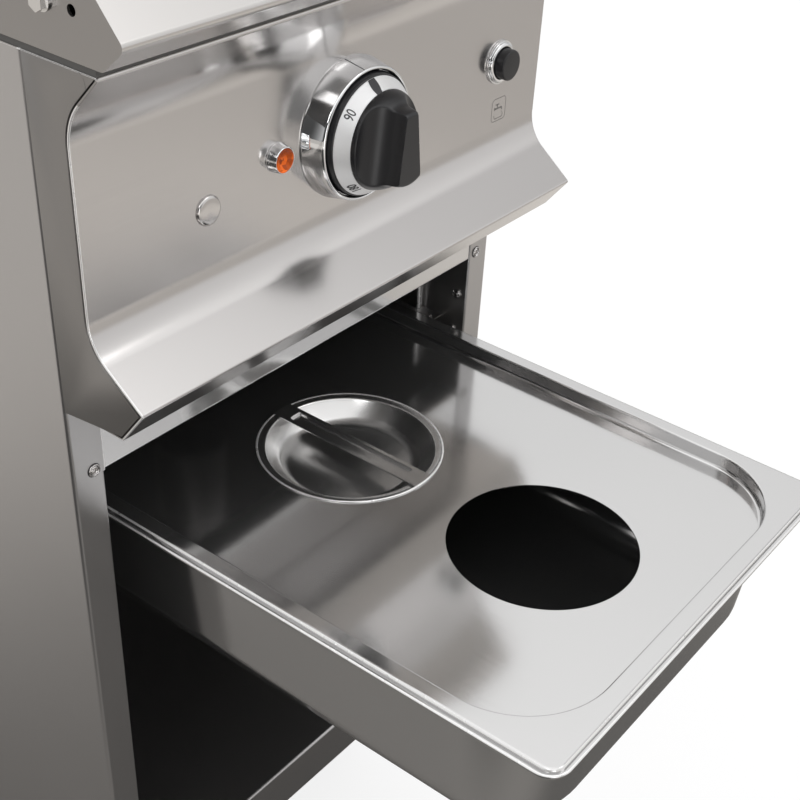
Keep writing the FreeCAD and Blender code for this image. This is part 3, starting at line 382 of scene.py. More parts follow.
def strip(profile, thickness, x0, x1, edge=0.0):
    """Bent sheet: a profile of (y, z) points runs along X; its inner face lies to the right."""
    line = [Vector(point) for point in profile]
    normals = []
    for index, point in enumerate(line):
        before = line[max(index - 1, 0)]
        after = line[min(index + 1, len(line) - 1)]
        if 0 < index < len(line) - 1:
            first = (point - before).normalized()
            second = (after - point).normalized()
            mean = (first + second).normalized()
            grow = 1 / max(mean.dot(first), 0.3)
        else:
            mean = (after - before).normalized()
            grow = 1.0
        normals.append(Vector((-mean.y, mean.x)) * grow)

    def section(x, drop, inner):
        outside = [p + n * drop for p, n in zip(line, normals)]
        inside = [p + n * (thickness - inner) for p, n in zip(line, normals)]
        return [(x, p.x, p.y) for p in outside] + [(x, p.x, p.y) for p in reversed(inside)]

    loops = []
    if edge:
        turns = 4
        for step in range(turns + 1):
            angle = math.pi / 2 * (1 - step / turns)
            loops.append(section(x0 + edge * (1 - math.sin(angle)), edge * (1 - math.cos(angle)), 0.0))
        for step in range(turns + 1):
            angle = math.pi / 2 * step / turns
            loops.append(section(x1 - edge * (1 - math.sin(angle)), edge * (1 - math.cos(angle)), 0.0))
    else:
        loops = [section(x0, 0, 0), section(x1, 0, 0)]
    count = len(line)
    points, faces = bridged(loops)
    for start in (0, (len(loops) - 1) * 2 * count):
        for index in range(count - 1):
            faces.append((start + index, start + index + 1,
                          start + 2 * count - 2 - index, start + 2 * count - 1 - index))
    return points, faces


# Fascia: a pressed sheet between two cheeks

UPPER_REACH = 53.2
LOWER_REACH = 63.6
NOSE_RISE = 22.5
FOOT_REACH = 46.2
UPPER_Z = SIDE_TOP - (UPPER_REACH + PANEL_Y) * math.tan(math.radians(46.2))
LOWER_Z = FASCIA_BOTTOM + NOSE_RISE + (LOWER_REACH + PANEL_Y) * math.tan(math.radians(36.7))
FASCIA_LINE = [(-29.2, SIDE_TOP), (-UPPER_REACH, SIDE_TOP), (PANEL_Y, UPPER_Z), (PANEL_Y, LOWER_Z),
               (-LOWER_REACH, FASCIA_BOTTOM + NOSE_RISE), (-FOOT_REACH, FASCIA_BOTTOM),
               (0.0, FASCIA_BOTTOM), (0.0, FASCIA_BOTTOM + 14)]
FASCIA_RADII = [1.6, 34.0, 28.0, 1.6, 1.6, 2.4]
HOLES = ((0.0, DIAL_Z, 4.5), (-60.7, FASCIA_BOTTOM + 109.2, 6.0), (-114.0, FASCIA_BOTTOM + 95.6, 7.0),
         (152.5, FASCIA_BOTTOM + 110.1, 12.0))


def cut_holes(made, cutters):
    """Cuts turned plugs out of a mesh with the exact solver."""
    for shape in cutters:
        mesh = bpy.data.meshes.new("cutter")
        mesh.from_pydata([spot(*point) for point in shape[0]], [], shape[1])
        tidy = bmesh.new()
        tidy.from_mesh(mesh)
        bmesh.ops.recalc_face_normals(tidy, faces=tidy.faces)
        tidy.to_mesh(mesh)
        tidy.free()
        cutter = bpy.data.objects.new("cutter", mesh)
        bpy.context.scene.collection.objects.link(cutter)
        cut = made.modifiers.new("hole", "BOOLEAN")
        cut.operation = "DIFFERENCE"
        cut.solver = "EXACT"
        cut.object = cutter
        settle(made)
        bpy.data.objects.remove(cutter)


def plug(radius, centre, low, high, upright=False, steps=64):
    loops = []
    for along in (low, high):
        points, _ = turned([(radius, along)], centre, steps, upright, looped=False)
        loops.append(points)
    return bridged(loops, cap_first=True, cap_last=True)


def fascia():
    profile = rounded(FASCIA_LINE, FASCIA_RADII, 24)
    points, faces = strip(profile, SHEET, -HALF + 0.1, HALF - 0.1, 0.55)
    inner = HALF - SHEET - 0.05
    placed = []
    for x, y, z in points:
        if z > SIDE_TOP - 1.3 and y > 2.2 - UPPER_REACH:
            x = min(max(x, -inner), inner)
        placed.append((x, y, z))
    panel = piece("fascia_skin", (placed, faces), "cabinet", "fascia_steel", ["fascia"])
    cut_holes(panel, [plug(radius, (x, PANEL_Y, z), -4, 3) for x, z, radius in HOLES])
    panel.data.set_sharp_from_angle(angle=math.radians(35))
    even_shading(panel)


def cheek_outline():
    outline = rounded(FASCIA_LINE[1:6] + [(-0.4, FASCIA_BOTTOM - 3.0)], FASCIA_RADII[1:4] + [1.6], 20)
    return outline + [(-0.4, SIDE_TOP)]


def cheek(side):
    """One end of the fascia: a flat sheet set a hair behind the skin's edge, which leaves a dark seam."""
    outline = cheek_outline()
    last = len(outline) - 2
    soft = 0.4
    gap = SHEET + 0.75
    slope = math.hypot(1.0, (UPPER_REACH + PANEL_Y) / (SIDE_TOP - UPPER_Z))
    loops = []
    for x, inset in ((HALF - SHEET, 0.0), (HALF - soft, 0.0), (HALF - soft * 0.3, soft * 0.3), (HALF, soft)):
        edge = [(side * x, (gap + inset) * slope - UPPER_REACH, SIDE_TOP - inset)]
        for index in range(1, last):
            y, z = shrunk(outline, index, gap + inset)
            edge.append((side * x, y, z))
        for y, z in outline[last:]:
            edge.append((side * x, y, min(z, SIDE_TOP - inset)))
        loops.append(edge)
    word = "left" if side < 0 else "right"
    piece("cheek_" + word, bridged(loops, cap_first=True, cap_last=True), "cabinet", "fascia_steel",
          ["fascia_cheek_" + word], CHEEK_STEEL, sharp=50)


def highlight_edges():
    """The fascia's rounded ends and the top edges of the sides, as thin bands of paler steel: painted highlights."""
    outline = cheek_outline()
    last = len(outline) - 2
    bands = []
    for side in (-1, 1):
        rows = []
        for x, inset in ((HALF - 0.03, 0.95), (HALF - 0.03, 0.4), (HALF - 0.25, 0.06), (HALF - 0.75, -0.03)):
            rows.append([(side * x, *shrunk(outline, index, inset)) for index in range(1, last)])
        bands.append(banded(rows))
        rows = []
        for x, z in ((HALF + 0.02, SIDE_TOP - 0.7), (HALF - 0.1, SIDE_TOP - 0.1), (HALF - 0.8, SIDE_TOP + 0.03)):
            rows.append([(side * x, y, z) for y in (2.5 - UPPER_REACH, 0.0, 300.0, 600.0)])
        bands.append(banded(rows))
    piece("highlight_edges", joined(*bands), "cabinet", "fascia_steel", material=HIGHLIGHT_STEEL, sharp=60)


def rail_lap():
    """The left post's crisp edge where the cross rail meets it, with a thin band of paler steel along it as a painted
    highlight.
    """
    rows = [[(x, -0.03, z) for z in (FASCIA_BOTTOM - 54.2, FASCIA_BOTTOM - 0.2)] for x in (-180.3, -177.3)]
    piece("rail_lap", banded(rows), "cabinet", "panel_steel")
    # the paler band along the edge is a painted highlight
    rows = [[(x, -0.05, z) for z in (FASCIA_BOTTOM - 54.2, FASCIA_BOTTOM - 0.2)] for x in (-177.55, -177.2)]
    piece("rail_lap_highlight", banded(rows), "cabinet", "panel_steel", material=HIGHLIGHT_STEEL)


def bracket_highlight_bead():
    """The rounded pale edge of the right front bracket's flange, seen behind the post; its paler steel is a painted
    highlight.
    """
    rows = []
    for degrees in range(0, 181, 20):
        angle = math.radians(degrees)
        x = 174.8 - 1.8 * math.cos(angle)
        y = 42.8 - 1.8 * math.sin(angle)
        rows.append([(x, y, z) for z in (470.0, 558.5)])
    piece("bracket_highlight_bead", banded(rows), "cabinet", "bright_steel", material=HIGHLIGHT_STEEL)


def weld_lines():
    """The edge of the ground weld at each cheek's upper corner."""
    bands = []
    line = ((-39.2, 819.3), (-41.0, 818.6), (-42.3, 817.1), (-42.9, 815.5), (-43.2, 813.6), (-43.2, 811.5))
    for side in (-1, 1):
        rows = []
        for shift in (-0.14, 0.14):
            rows.append([(side * (HALF + 0.03), y + shift, z + shift) for y, z in line])
        bands.append(banded(rows))
    piece("weld_lines", joined(*bands), "cabinet", "fascia_steel", material=DARK_INK)


def shrunk(outline, index, inset):
    """The outline's point moved inwards by inset, for a closed outline that runs anticlockwise or not."""
    before = Vector(outline[index - 1])
    here = Vector(outline[index])
    after = Vector(outline[(index + 1) % len(outline)])
    first = (here - before).normalized()
    second = (after - here).normalized()
    mean = (first + second).normalized()
    area = sum(a[0] * b[1] - b[0] * a[1] for a, b in zip(outline, outline[1:] + outline[:1]))
    way = Vector((-mean.y, mean.x)) * (1 if area > 0 else -1)
    return tuple(here + way * (inset / max(mean.dot(first), 0.4)))


# Container, lid and dish

RIM_Z = FLANGE_TOP - 3.0
SIDE_WALL = 11.6
END_WALL = 13.0
WALL_CORNER = 62.0


def container():
    """The drawer's tub, from its outer floor up over the rim and down to its inner floor."""
    depth = FLANGE_TOP - CONTAINER_BOTTOM
    bottom_radius = 26.0

    def wall(z, gap, extra=0.0):
        low = (FLANGE_TOP - z) / depth
        return rim_ring(SIDE_WALL + 5.5 * low + gap + extra, WALL_CORNER - 9.5 * low - gap - extra, z,
                        END_WALL + 9.5 * low + gap + extra)

    def bowl(gap, steps=10):
        floor = CONTAINER_BOTTOM + gap
        radius = bottom_radius - gap
        loops = []
        for step in range(steps + 1):
            angle = math.pi / 2 * step / steps
            loops.append(wall(floor + radius * (1 - math.sin(angle)), gap, radius * (1 - math.cos(angle))))
        return loops

    outer = list(reversed(bowl(0.0)))
    loops = outer + [wall(FLANGE_TOP - 4.4, 0.0)]
    for step in range(1, 6):
        angle = math.pi / 2 * step / 5
        drop = 0.9 + 3.5 * (1 - math.sin(angle))
        loops.append(wall(FLANGE_TOP - drop, 0.0, -3.5 * (1 - math.cos(angle))))
    rim = ((2.4, RIM_Z + 2.1), (2.4, RIM_Z + 0.3), (1.9, RIM_Z), (0.9, RIM_Z), (0.26, RIM_Z + 0.26),
           (0.0, RIM_Z + 0.9), (0.0, FLANGE_TOP - 0.9), (0.26, FLANGE_TOP - 0.26), (0.9, FLANGE_TOP))
    for inset, z in rim:
        loops.append(rim_ring(inset, 14.0 - inset, z))
    inner = []
    for step in range(6):
        angle = math.pi / 2 * step / 5
        inner.append(wall(FLANGE_TOP - 3.5 * (1 - math.cos(angle)), 0.9, -3.5 * (1 - math.sin(angle))))
    loops += inner + bowl(0.9)
    made = piece("container_tub", bridged(loops, cap_first=True, cap_last=True), "drawer", "pressed_steel",
                 ["container"])
    even_shading(made)


def drawer_edge_highlights():
    """The rounded edges of the container's flange and of the lid, and the dish's bead, as thin bands of paler steel:
    painted highlights that shine as two lines and a ring.
    """
    flange = [rim_ring(inset, 14.0 - inset, z) for inset, z in
              ((-0.05, FLANGE_TOP - 0.9), (0.21, FLANGE_TOP - 0.21), (0.9, FLANGE_TOP + 0.05))]
    piece("flange_highlight", bridged(flange), "drawer", "pressed_steel", material=HIGHLIGHT_STEEL, sharp=60)
    loops = []
    for degrees in (10, 25, 40, 55):
        angle = math.radians(degrees)
        out = 1.8 - 1.87 * math.cos(angle)
        loops.append(rim_ring(2.8 + out, 9.0 - out, LID_TOP - 1.8 + 1.87 * math.sin(angle)))
    piece("lid_highlight", bridged(loops), "lid", "pressed_steel", material=HIGHLIGHT_STEEL, sharp=60)
    bead = [(61.75, 0.84), (62.1, 1.07), (62.5, 1.17), (62.9, 1.07), (63.25, 0.78)]
    piece("dish_bead_highlight", turned(bead, (0, DISH_Y, PLATE_Z), 160, True, False), "dish_plug", "pressed_steel",
          material=HIGHLIGHT_STEEL, sharp=60)


def lid():
    """The lid's upper face as one sheet with two holes, thickened downwards."""
    loops = [rim_ring(2.8, 9.0, FLANGE_TOP + 0.1), rim_ring(2.8, 9.0, LID_TOP - 1.8)]
    for step in range(1, 7):
        angle = math.pi / 2 * step / 6
        out = 1.8 * (1 - math.cos(angle))
        loops.append(rim_ring(2.8 + out, 9.0 - out, LID_TOP - 1.8 * (1 - math.sin(angle))))
    wall = 14.1
    end = 15.5
    corner = 59.5
    edge = 1.4
    fillet = 2.6
    for step in range(7):
        angle = math.pi / 2 * step / 6
        out = edge * (1 - math.sin(angle))
        loops.append(rim_ring(wall - out, corner + out, LID_TOP - edge * (1 - math.cos(angle)), end - out))
    for step in range(9):
        angle = math.pi / 2 * step / 8
        out = fillet * (1 - math.cos(angle))
        loops.append(rim_ring(wall + out, corner - out, PLATE_Z + fillet * (1 - math.sin(angle)), end + out))
    points, faces = bridged(loops)
    mesh = bmesh.new()
    grown = [mesh.verts.new(point) for point in points]
    for face in faces:
        mesh.faces.new([grown[index] for index in face])
    edge_loop = grown[-len(loops[-1]):]
    border = [mesh.edges.get((a, b)) for a, b in zip(edge_loop, edge_loop[1:] + edge_loop[:1])]
    for y in (FRONT_HOLE_Y, DISH_Y):
        ring = [mesh.verts.new(point) for point in turned([(HOLE_RADIUS, 0)], (0, y, PLATE_Z), 128, True, False)[0]]
        border += [mesh.edges.new((a, b)) for a, b in zip(ring, ring[1:] + ring[:1])]
    bmesh.ops.triangle_fill(mesh, edges=border, use_beauty=True, normal=(0, 0, 1))
    mesh.verts.ensure_lookup_table()
    mesh.verts.index_update()
    shape = [tuple(v.co) for v in mesh.verts], [tuple(v.index for v in f.verts) for f in mesh.faces]
    mesh.free()
    made = piece("lid_pressing", shape, "lid", "pressed_steel", ["lid"])
    if made.data.polygons[len(made.data.polygons) - 1].normal.z < 0:
        made.data.flip_normals()
    thick = made.modifiers.new("thick", "SOLIDIFY")
    thick.thickness = 0.0008
    thick.offset = -1
    thick.use_even_offset = True
    settle(made)
    made.data.set_sharp_from_angle(angle=math.radians(40))
    even_shading(made)


def dish():
    """The shallow dish: flat floor, wide fillet, sloped wall and a rim with a small bead."""
    centre = (0, DISH_Y, PLATE_Z)
    floor = -13.2
    flat = 40.0
    bowl = 12.0
    wall = 1.0
    inside = [(0.02, floor), (20.0, floor), (flat, floor)]
    for step in range(1, 13):
        angle = math.radians(4 * step)
        inside.append((flat + bowl * math.sin(angle), floor + bowl * (1 - math.cos(angle))))
    inside += [(56.0, -1.3), (56.4, -0.7), (56.8, -0.1), (57.2, 0.3), (57.8, 0.55), (58.4, 0.6)]
    rim = [(61.5, 0.6), (61.8, 0.75), (62.1, 1.0), (62.5, 1.1), (62.9, 1.0), (63.2, 0.7), (63.3, 0.35),
           (63.3, 0.02)]
    outside = [(HOLE_RADIUS - 0.4, 0.02), (HOLE_RADIUS - 0.9, -0.6), (57.4, -1.2)]
    for step in range(12, -1, -2):
        angle = math.radians(4 * step)
        outside.append((flat + (bowl + wall) * math.sin(angle), floor + bowl - (bowl + wall) * math.cos(angle)))
    outside.append((0.02, floor - wall))
    piece("dish_pressing", turned(inside + rim + outside, centre, 160, True, looped=False), "dish_plug",
          "pressed_steel", ["dish_bowl"], DISH_STEEL, sharp=45)


def dish_handle():
    """The bar across the dish: a strip with a long pressed groove, its ends cut to the rim's circle."""
    width = 16.5
    reach = 62.6
    top = PLATE_Z + 2.0
    sheet = 1.0
    groove_half = 5.2
    groove_reach = 50.0
    depth = 2.4
    half = width / 2
    soft = 0.35
    lines = 44
    rows = 240

    def end_reach(x):
        return math.sqrt(reach * reach - x * x)

    def drop(x, y):
        """How far the bar's face lies below its top: a trough with a flat floor and square ends."""
        corner = 1.6
        over_x = abs(x) - (groove_half - corner)
        over_y = abs(y) - (groove_reach - corner)
        away = math.hypot(max(over_x, 0.0), max(over_y, 0.0)) + min(max(over_x, over_y), 0.0)
        level = min(max((corner - away) / 1.0, 0.0), 1.0)
        return depth * (3 * level * level - 2 * level ** 3)

    across = [half * (2 * column / lines - 1) for column in range(lines + 1)]
    along = [2 * row / rows - 1 for row in range(rows + 1)]
    upper = []
    lower = []
    for x in across:
        edge = max(abs(x) - (half - soft), 0.0)
        bend = soft - math.sqrt(max(soft * soft - edge * edge, 0.0))
        for share in along:
            y = share * end_reach(x)
            z = top - drop(x, y)
            upper.append((x, DISH_Y + y, z - bend))
            lower.append((x, DISH_Y + y, min(z, top) - sheet))
    columns = rows + 1
    faces = []
    offset = len(upper)
    for column in range(lines):
        for row in range(rows):
            a = column * columns + row
            b = a + columns
            faces.append((a, a + 1, b + 1, b))
            faces.append((offset + a, offset + b, offset + b + 1, offset + a + 1))
    for column in (0, lines):
        for row in range(rows):
            a = column * columns + row
            faces.append((a, a + 1, offset + a + 1, offset + a))
    for row in (0, rows):
        for column in range(lines):
            a = column * columns + row
            faces.append((a, a + columns, offset + a + columns, offset + a))
    piece("dish_bar", (upper + lower, faces), "dish_plug", "pressed_steel", ["dish_handle"], DISH_STEEL,
          sharp=40)


# Knob

BEZEL_DEPTH = 15.5
DIAL_FRONT = 18.6
DIAL_OUTER = 34.6
DIAL_INNER = 29.4
DIAL_TOP = 26.1


def knob_bezel():
    centre = (0, PANEL_Y, DIAL_Z)
    profile = [(36.8, 0.0), (41.6, 0.0), (41.9, 0.25), (41.9, 0.9), (41.6, 1.3), (39.5, BEZEL_DEPTH - 1.5),
               (39.1, BEZEL_DEPTH - 0.6), (38.6, BEZEL_DEPTH - 0.15), (38.1, BEZEL_DEPTH),
               (37.6, BEZEL_DEPTH - 0.1), (37.2, BEZEL_DEPTH - 0.6), (36.9, BEZEL_DEPTH - 1.6),
               (36.8, BEZEL_DEPTH - 3.0)]
    piece("bezel_ring", turned(profile, centre, 192), "cabinet", "chrome", ["knob_bezel"], sharp=50)
    for name, turn, half, ink in (("bezel_seam", -7.0, 0.3, DARK_INK), ("bezel_seam_edge", -6.2, 0.2, PALE_INK)):
        points = []
        for along, radius in ((0.9, 41.95), (1.3, 41.7), (BEZEL_DEPTH - 1.5, 39.56), (BEZEL_DEPTH - 0.7, 39.2)):
            for way in (-1, 1):
                angle = math.radians(turn) + way * half / radius
                points.append((radius * math.sin(angle), PANEL_Y - along, DIAL_Z + radius * math.cos(angle)))
        faces = [(2 * k, 2 * k + 1, 2 * k + 3, 2 * k + 2) for k in range(3)]
        piece(name, (points, faces), "cabinet", "chrome", material=ink)


def on_cone(angle, radius, lift=0.03):
    """A point on the dial's cone, angle in degrees clockwise from the top seen from the front."""
    share = (DIAL_OUTER - radius) / (DIAL_OUTER - DIAL_INNER)
    along = DIAL_FRONT + share * (DIAL_TOP - DIAL_FRONT) + lift
    turn = math.radians(angle)
    return radius * math.sin(turn), PANEL_Y - along, DIAL_Z + radius * math.cos(turn)


def dial():
    centre = (0, PANEL_Y, DIAL_Z)
    ring = [(DIAL_OUTER, DIAL_FRONT - 0.5), (DIAL_OUTER, DIAL_FRONT - 0.12), (DIAL_OUTER - 0.1, DIAL_FRONT),
            (DIAL_INNER, DIAL_TOP), (DIAL_INNER - 0.4, DIAL_TOP), (DIAL_INNER - 0.4, DIAL_TOP - 0.7)]
    piece("dial_face", turned(ring, centre, 160), "control_knob", "silver", ["dial_ring"], sharp=50)

    # the dark leaf that marks zero
    points = []
    rows = 16
    for row in range(rows + 1):
        share = row / rows
        radius = DIAL_INNER - 0.2 + (DIAL_OUTER - DIAL_INNER + 0.3) * share
        middle = -9.6 + 3.6 * share
        width = 2.0 + 0.6 * share + 0.8 * math.sin(math.pi * share)
        spread = math.degrees(width / radius)
        points += [on_cone(middle + spread * (column / 4 - 1), radius, 0.1) for column in range(9)]
    faces = []
    for row in range(rows):
        for column in range(8):
            corner = 9 * row + column
            faces.append((corner, corner + 1, corner + 10, corner + 9))
    piece("zero_mark", (points, faces), "control_knob", "silver", material=DARK_INK)
    for text, angle, radius, weight in (("90", -50.5, 32.2, 0.05), ("180", -139.5, 31.7, 0.18)):
        dial_number(text, angle, radius, weight)


def dial_number(text, angle, radius, weight):
    """A number that lies on the cone with its top outwards."""
    curve = bpy.data.curves.new("number_" + text, "FONT")
    curve.body = text
    curve.size = 8.2
    curve.align_x = "CENTER"
    curve.align_y = "CENTER"
    curve.resolution_u = 4
    curve.offset = weight
    source = bpy.data.objects.new("number_source", curve)
    bpy.context.scene.collection.objects.link(source)
    graph = bpy.context.evaluated_depsgraph_get()
    flat = bpy.data.meshes.new_from_object(source.evaluated_get(graph))
    slant = math.hypot(DIAL_TOP - DIAL_FRONT, DIAL_OUTER - DIAL_INNER) / (DIAL_OUTER - DIAL_INNER)
    points = []
    for vertex in flat.vertices:
        place = radius + vertex.co.y / slant
        points.append(on_cone(angle + math.degrees(vertex.co.x * 0.74 / radius), place, 0.12))
    faces = [tuple(face.vertices) for face in flat.polygons]
    bpy.data.objects.remove(source)
    piece("number_" + text, (points, faces), "control_knob", "silver", material=DARK_INK)


def blend_low(first, second, width):
    """The lower of two heights with a rounded meeting."""
    share = min(max(0.5 + 0.5 * (second - first) / width, 0.0), 1.0)
    return second + (first - second) * share - width * share * (1 - share)


def grip():
    """The black grip as heights over its round base: a dome with a hollow at each side of its bar."""
    dome = ((0.0, 46.6), (19.8, 46.6), (20.6, 46.4), (21.3, 45.9), (22.0, 44.6), (22.5, 42.0), (22.9, 39.0),
            (24.0, 36.6), (25.5, 34.9), (27.0, 32.5), (28.0, 30.4), (28.8, 28.2), (29.2, 26.5))
    scoop = 17.0
    floor = 28.7

    def dome_height(radius):
        for (r0, h0), (r1, h1) in zip(dome, dome[1:]):
            if radius <= r1:
                return h0 + (h1 - h0) * (radius - r0) / (r1 - r0)
        return dome[-1][1]

    def height(across, rise):
        radius = math.hypot(across, rise)
        high = dome_height(radius)
        beyond = abs(across) - (7.7 - 0.126 * rise)
        if beyond <= 0:
            return high
        reach = min(beyond, 2 * scoop)
        hollow = floor + scoop - math.sqrt(max(scoop * scoop - (reach - scoop) ** 2, 0.0))
        hollow += max(0.0, 1.2 - beyond) * 1.0
        return blend_low(high, hollow, 0.9)

    rings = 74
    steps = 240
    loops = []
    for ring in range(1, rings + 1):
        radius = 29.2 * ring / rings
        loop = []
        for step in range(steps):
            angle = 2 * math.pi * step / steps
            across = radius * math.sin(angle)
            rise = radius * math.cos(angle)
            loop.append((across, PANEL_Y - height(across, rise), DIAL_Z + rise))
        loops.append(loop)
    points, faces = bridged(loops)
    points.append((0, PANEL_Y - 46.6, DIAL_Z))
    top = len(points) - 1
    faces += [(step, (step + 1) % steps, top) for step in range(steps)]
    face = points, faces

    # behind the dial the same moulding fills the bezel and stands 0.6 clear of it
    skirt = [(DIAL_INNER - 0.2, 26.5), (DIAL_INNER - 0.6, DIAL_TOP - 0.8), (DIAL_OUTER - 0.3, DIAL_FRONT - 0.55),
             (DIAL_OUTER + 0.5, DIAL_FRONT - 0.7), (35.5, DIAL_FRONT - 1.4), (36.1, BEZEL_DEPTH - 1.6),
             (36.1, 3.4), (35.7, 3.0), (3.4, 3.0), (3.4, 24.0), (0.02, 24.0)]
    back = turned(skirt, (0, PANEL_Y, DIAL_Z), 192, looped=False)
    piece("grip_moulding", joined(face, back), "control_knob", "black_plastic", ["knob_grip"], sharp=60)


def ticks():
    """Two small pale ticks on the bezel's inner edge, at its lower left."""
    shapes = []
    for angle, length in ((-139.0, 1.6), (-150.0, 0.9)):
        turn = math.radians(angle)
        along = BEZEL_DEPTH - 0.9
        inner = 36.95
        side = (math.cos(turn) * 0.2, -math.sin(turn) * 0.2)
        points = []
        for y, radius in ((along - length, inner - 0.1), (along, inner - 0.02)):
            for way in (-1, 1):
                points.append((radius * math.sin(turn) + way * side[0], PANEL_Y - y,
                               DIAL_Z + radius * math.cos(turn) + way * side[1]))
        shapes.append((points, [(0, 1, 3, 2)]))
    piece("bezel_ticks", joined(*shapes), "cabinet", "chrome", material=PALE_INK)


# Lamp, blanking cap, push button and its sign

def lamp():
    centre = (-60.7, PANEL_Y, FASCIA_BOTTOM + 109.2)
    bezel = [(5.9, -8.0), (5.9, 0.0), (8.3, 0.0), (8.5, 0.2), (8.5, 1.0), (8.3, 1.3), (7.75, 5.7), (7.6, 6.2),
             (7.35, 6.45), (7.05, 6.4), (6.85, 6.0), (6.7, 4.2), (4.8, 0.0), (4.8, -8.0)]
    piece("lamp_ring", turned(bezel, centre, 72), "cabinet", "chrome", ["lamp_bezel"], sharp=45)
    lens = [(0.02, -7.0), (4.6, -7.0), (4.6, 0.0), (6.55, 4.4), (6.75, 6.0), (6.6, 6.5), (6.0, 6.75), (5.2, 6.6),
            (4.3, 5.6), (3.0, 4.9), (1.6, 4.6), (0.02, 4.5)]
    piece("lamp_glass", turned(lens, centre, 72, looped=False), "cabinet", "lens", ["lamp_lens"], sharp=60)

    centre = (-114.0, PANEL_Y, FASCIA_BOTTOM + 95.6)
    cap = [(0.02, -7.0), (6.4, -7.0), (6.8, -1.4), (6.8, 0.0), (8.35, 0.0), (8.6, 0.2), (8.6, 0.6), (8.3, 1.15),
           (7.7, 1.55), (6.6, 1.8), (4.5, 1.95), (0.02, 2.0)]
    piece("cap_button", turned(cap, centre, 96, looped=False), "cabinet", "bright_steel", ["blanking_cap"],
          CAP_STEEL, sharp=60)


def rivets():
    """Hollow rivets that join the posts to the rail, with the pin's end down in the middle, and dark rings of painted
    shade at each head's foot and in its groove.
    """
    profile = [(0.02, -4.0), (2.0, -4.0), (2.0, 0.0), (3.9, 0.0), (4.1, 0.2), (4.1, 0.7), (3.9, 1.0),
               (3.4, 1.1), (3.1, 0.6), (2.8, 0.55), (2.6, 0.9), (2.2, 1.1), (1.9, 0.9), (1.7, -0.6),
               (0.9, -0.6), (0.7, 0.3), (0.02, 0.35)]
    shapes = [turned(profile, (side * (HALF - 15.0), 0.0, FASCIA_BOTTOM - 50.2), 48, looped=False)
              for side in (-1, 1)]
    piece("rivet_heads", joined(*shapes), "cabinet", "bright_steel", ["post_rivets"], CAP_STEEL,
          sharp=50)
    # dark rings of painted shade: a contact shadow round each head's foot and shade down in its groove
    shade_rings = []
    for side in (-1, 1):
        centre = (side * (HALF - 15.0), 0.0, FASCIA_BOTTOM - 50.2)
        shade_rings.append(turned([(4.0, 0.03), (4.55, 0.03)], centre, 48, looped=False))
        shade_rings.append(turned([(2.6, 0.62), (3.3, 0.64)], centre, 48, looped=False))
    piece("rivet_painted_shade", joined(*shade_rings), "cabinet", "bright_steel", material=DARK_INK)


def push_button():
    centre = (152.5, PANEL_Y, FASCIA_BOTTOM + 110.1)
    ring = [(11.9, -10.0), (11.9, 0.0), (14.2, 0.0), (14.4, 0.2), (14.4, 1.1), (14.2, 1.5), (13.8, 1.6),
            (13.45, 1.4), (13.35, 1.4), (13.2, 2.3), (12.9, 2.8), (12.2, 3.2), (11.2, 3.5), (10.9, 3.5),
            (10.6, 3.3), (10.5, 2.8), (10.25, 0.0), (10.25, -10.0)]
    piece("push_ring", turned(ring, centre, 96), "cabinet", "chrome", ["button_ring"], sharp=45)
    cap = [(2.6, -8.0), (4.0, -8.0), (4.0, -2.0), (9.9, -2.0), (10.0, -1.8), (10.0, 9.0), (9.8, 9.5), (9.3, 9.8),
           (8.6, 9.85), (0.02, 9.9)]
    piece("push_cap", turned(cap, centre, 96, looped=False), "fill_button", "black_plastic", ["button_cap"],
          sharp=50)


def flat_line(path, width, closed=False, lift=0.04):
    """A thin flat band on the fascia along a path of (x, z) points."""
    line = [Vector(point) for point in path]
    count = len(line)
    points = []
    for index, here in enumerate(line):
        before = line[index - 1] if index or closed else here
        after = line[(index + 1) % count] if index < count - 1 or closed else here
        run = (after - before).normalized()
        side = Vector((-run.y, run.x)) * width / 2
        points += [(here.x + side.x, PANEL_Y - lift, here.y + side.y),
                   (here.x - side.x, PANEL_Y - lift, here.y - side.y)]
    pairs = count if closed else count - 1
    faces = []
    for index in range(pairs):
        after = (index + 1) % count
        faces.append((2 * index, 2 * index + 1, 2 * after + 1, 2 * after))
    return points, faces


def sign():
    """The water-fill sign under the push button: a tap over a basin in a rounded frame."""
    middle_x = 156.6
    middle_z = FASCIA_BOTTOM + 76.8
    frame_line = [(p[0] + middle_x, p[1] + middle_z) for p in rounded_ring(7.9, -7.8, 7.8, 3.0, 0, 6)]
    shapes = [flat_line(frame_line, 0.42, closed=True)]

    def drawn(path, width, closed=False):
        shapes.append(flat_line([(middle_x + x, middle_z + z) for x, z in path], width, closed))

    drawn([(-3.6, 3.6), (0.4, 3.6)], 0.9)
    drawn([(-1.6, 3.4), (-1.6, 1.6)], 1.0)
    drawn(rounded([(-4.6, 0.9), (2.4, 0.9), (3.6, 0.9), (3.6, -1.0)], [0.0, 1.0], 5), 1.1)
    drawn([(-4.6, 2.0), (-4.6, -0.2)], 0.8)
    drawn([(3.6, -2.0), (3.6, -3.0)], 0.5)
    drawn(rounded([(-5.0, -3.4), (-4.2, -6.0), (4.2, -6.0), (5.0, -3.4)], [1.0, 1.0], 5), 0.5)
    piece("fill_sign", joined(*shapes), "cabinet", "fascia_steel", material=SIGN_INK)


fascia()
cheek(-1)
cheek(1)
highlight_edges()
weld_lines()
rail_lap()
bracket_highlight_bead()
container()
drawer_edge_highlights()
lid()
dish()
dish_handle()
knob_bezel()
dial()
grip()
ticks()
lamp()
push_button()
sign()
rivets()


# Stage: the camera sees plain white; metal sees a pale studio whose light grows towards the top, and
#  a floor with painted shade, darker near the cabinet and under the drawer

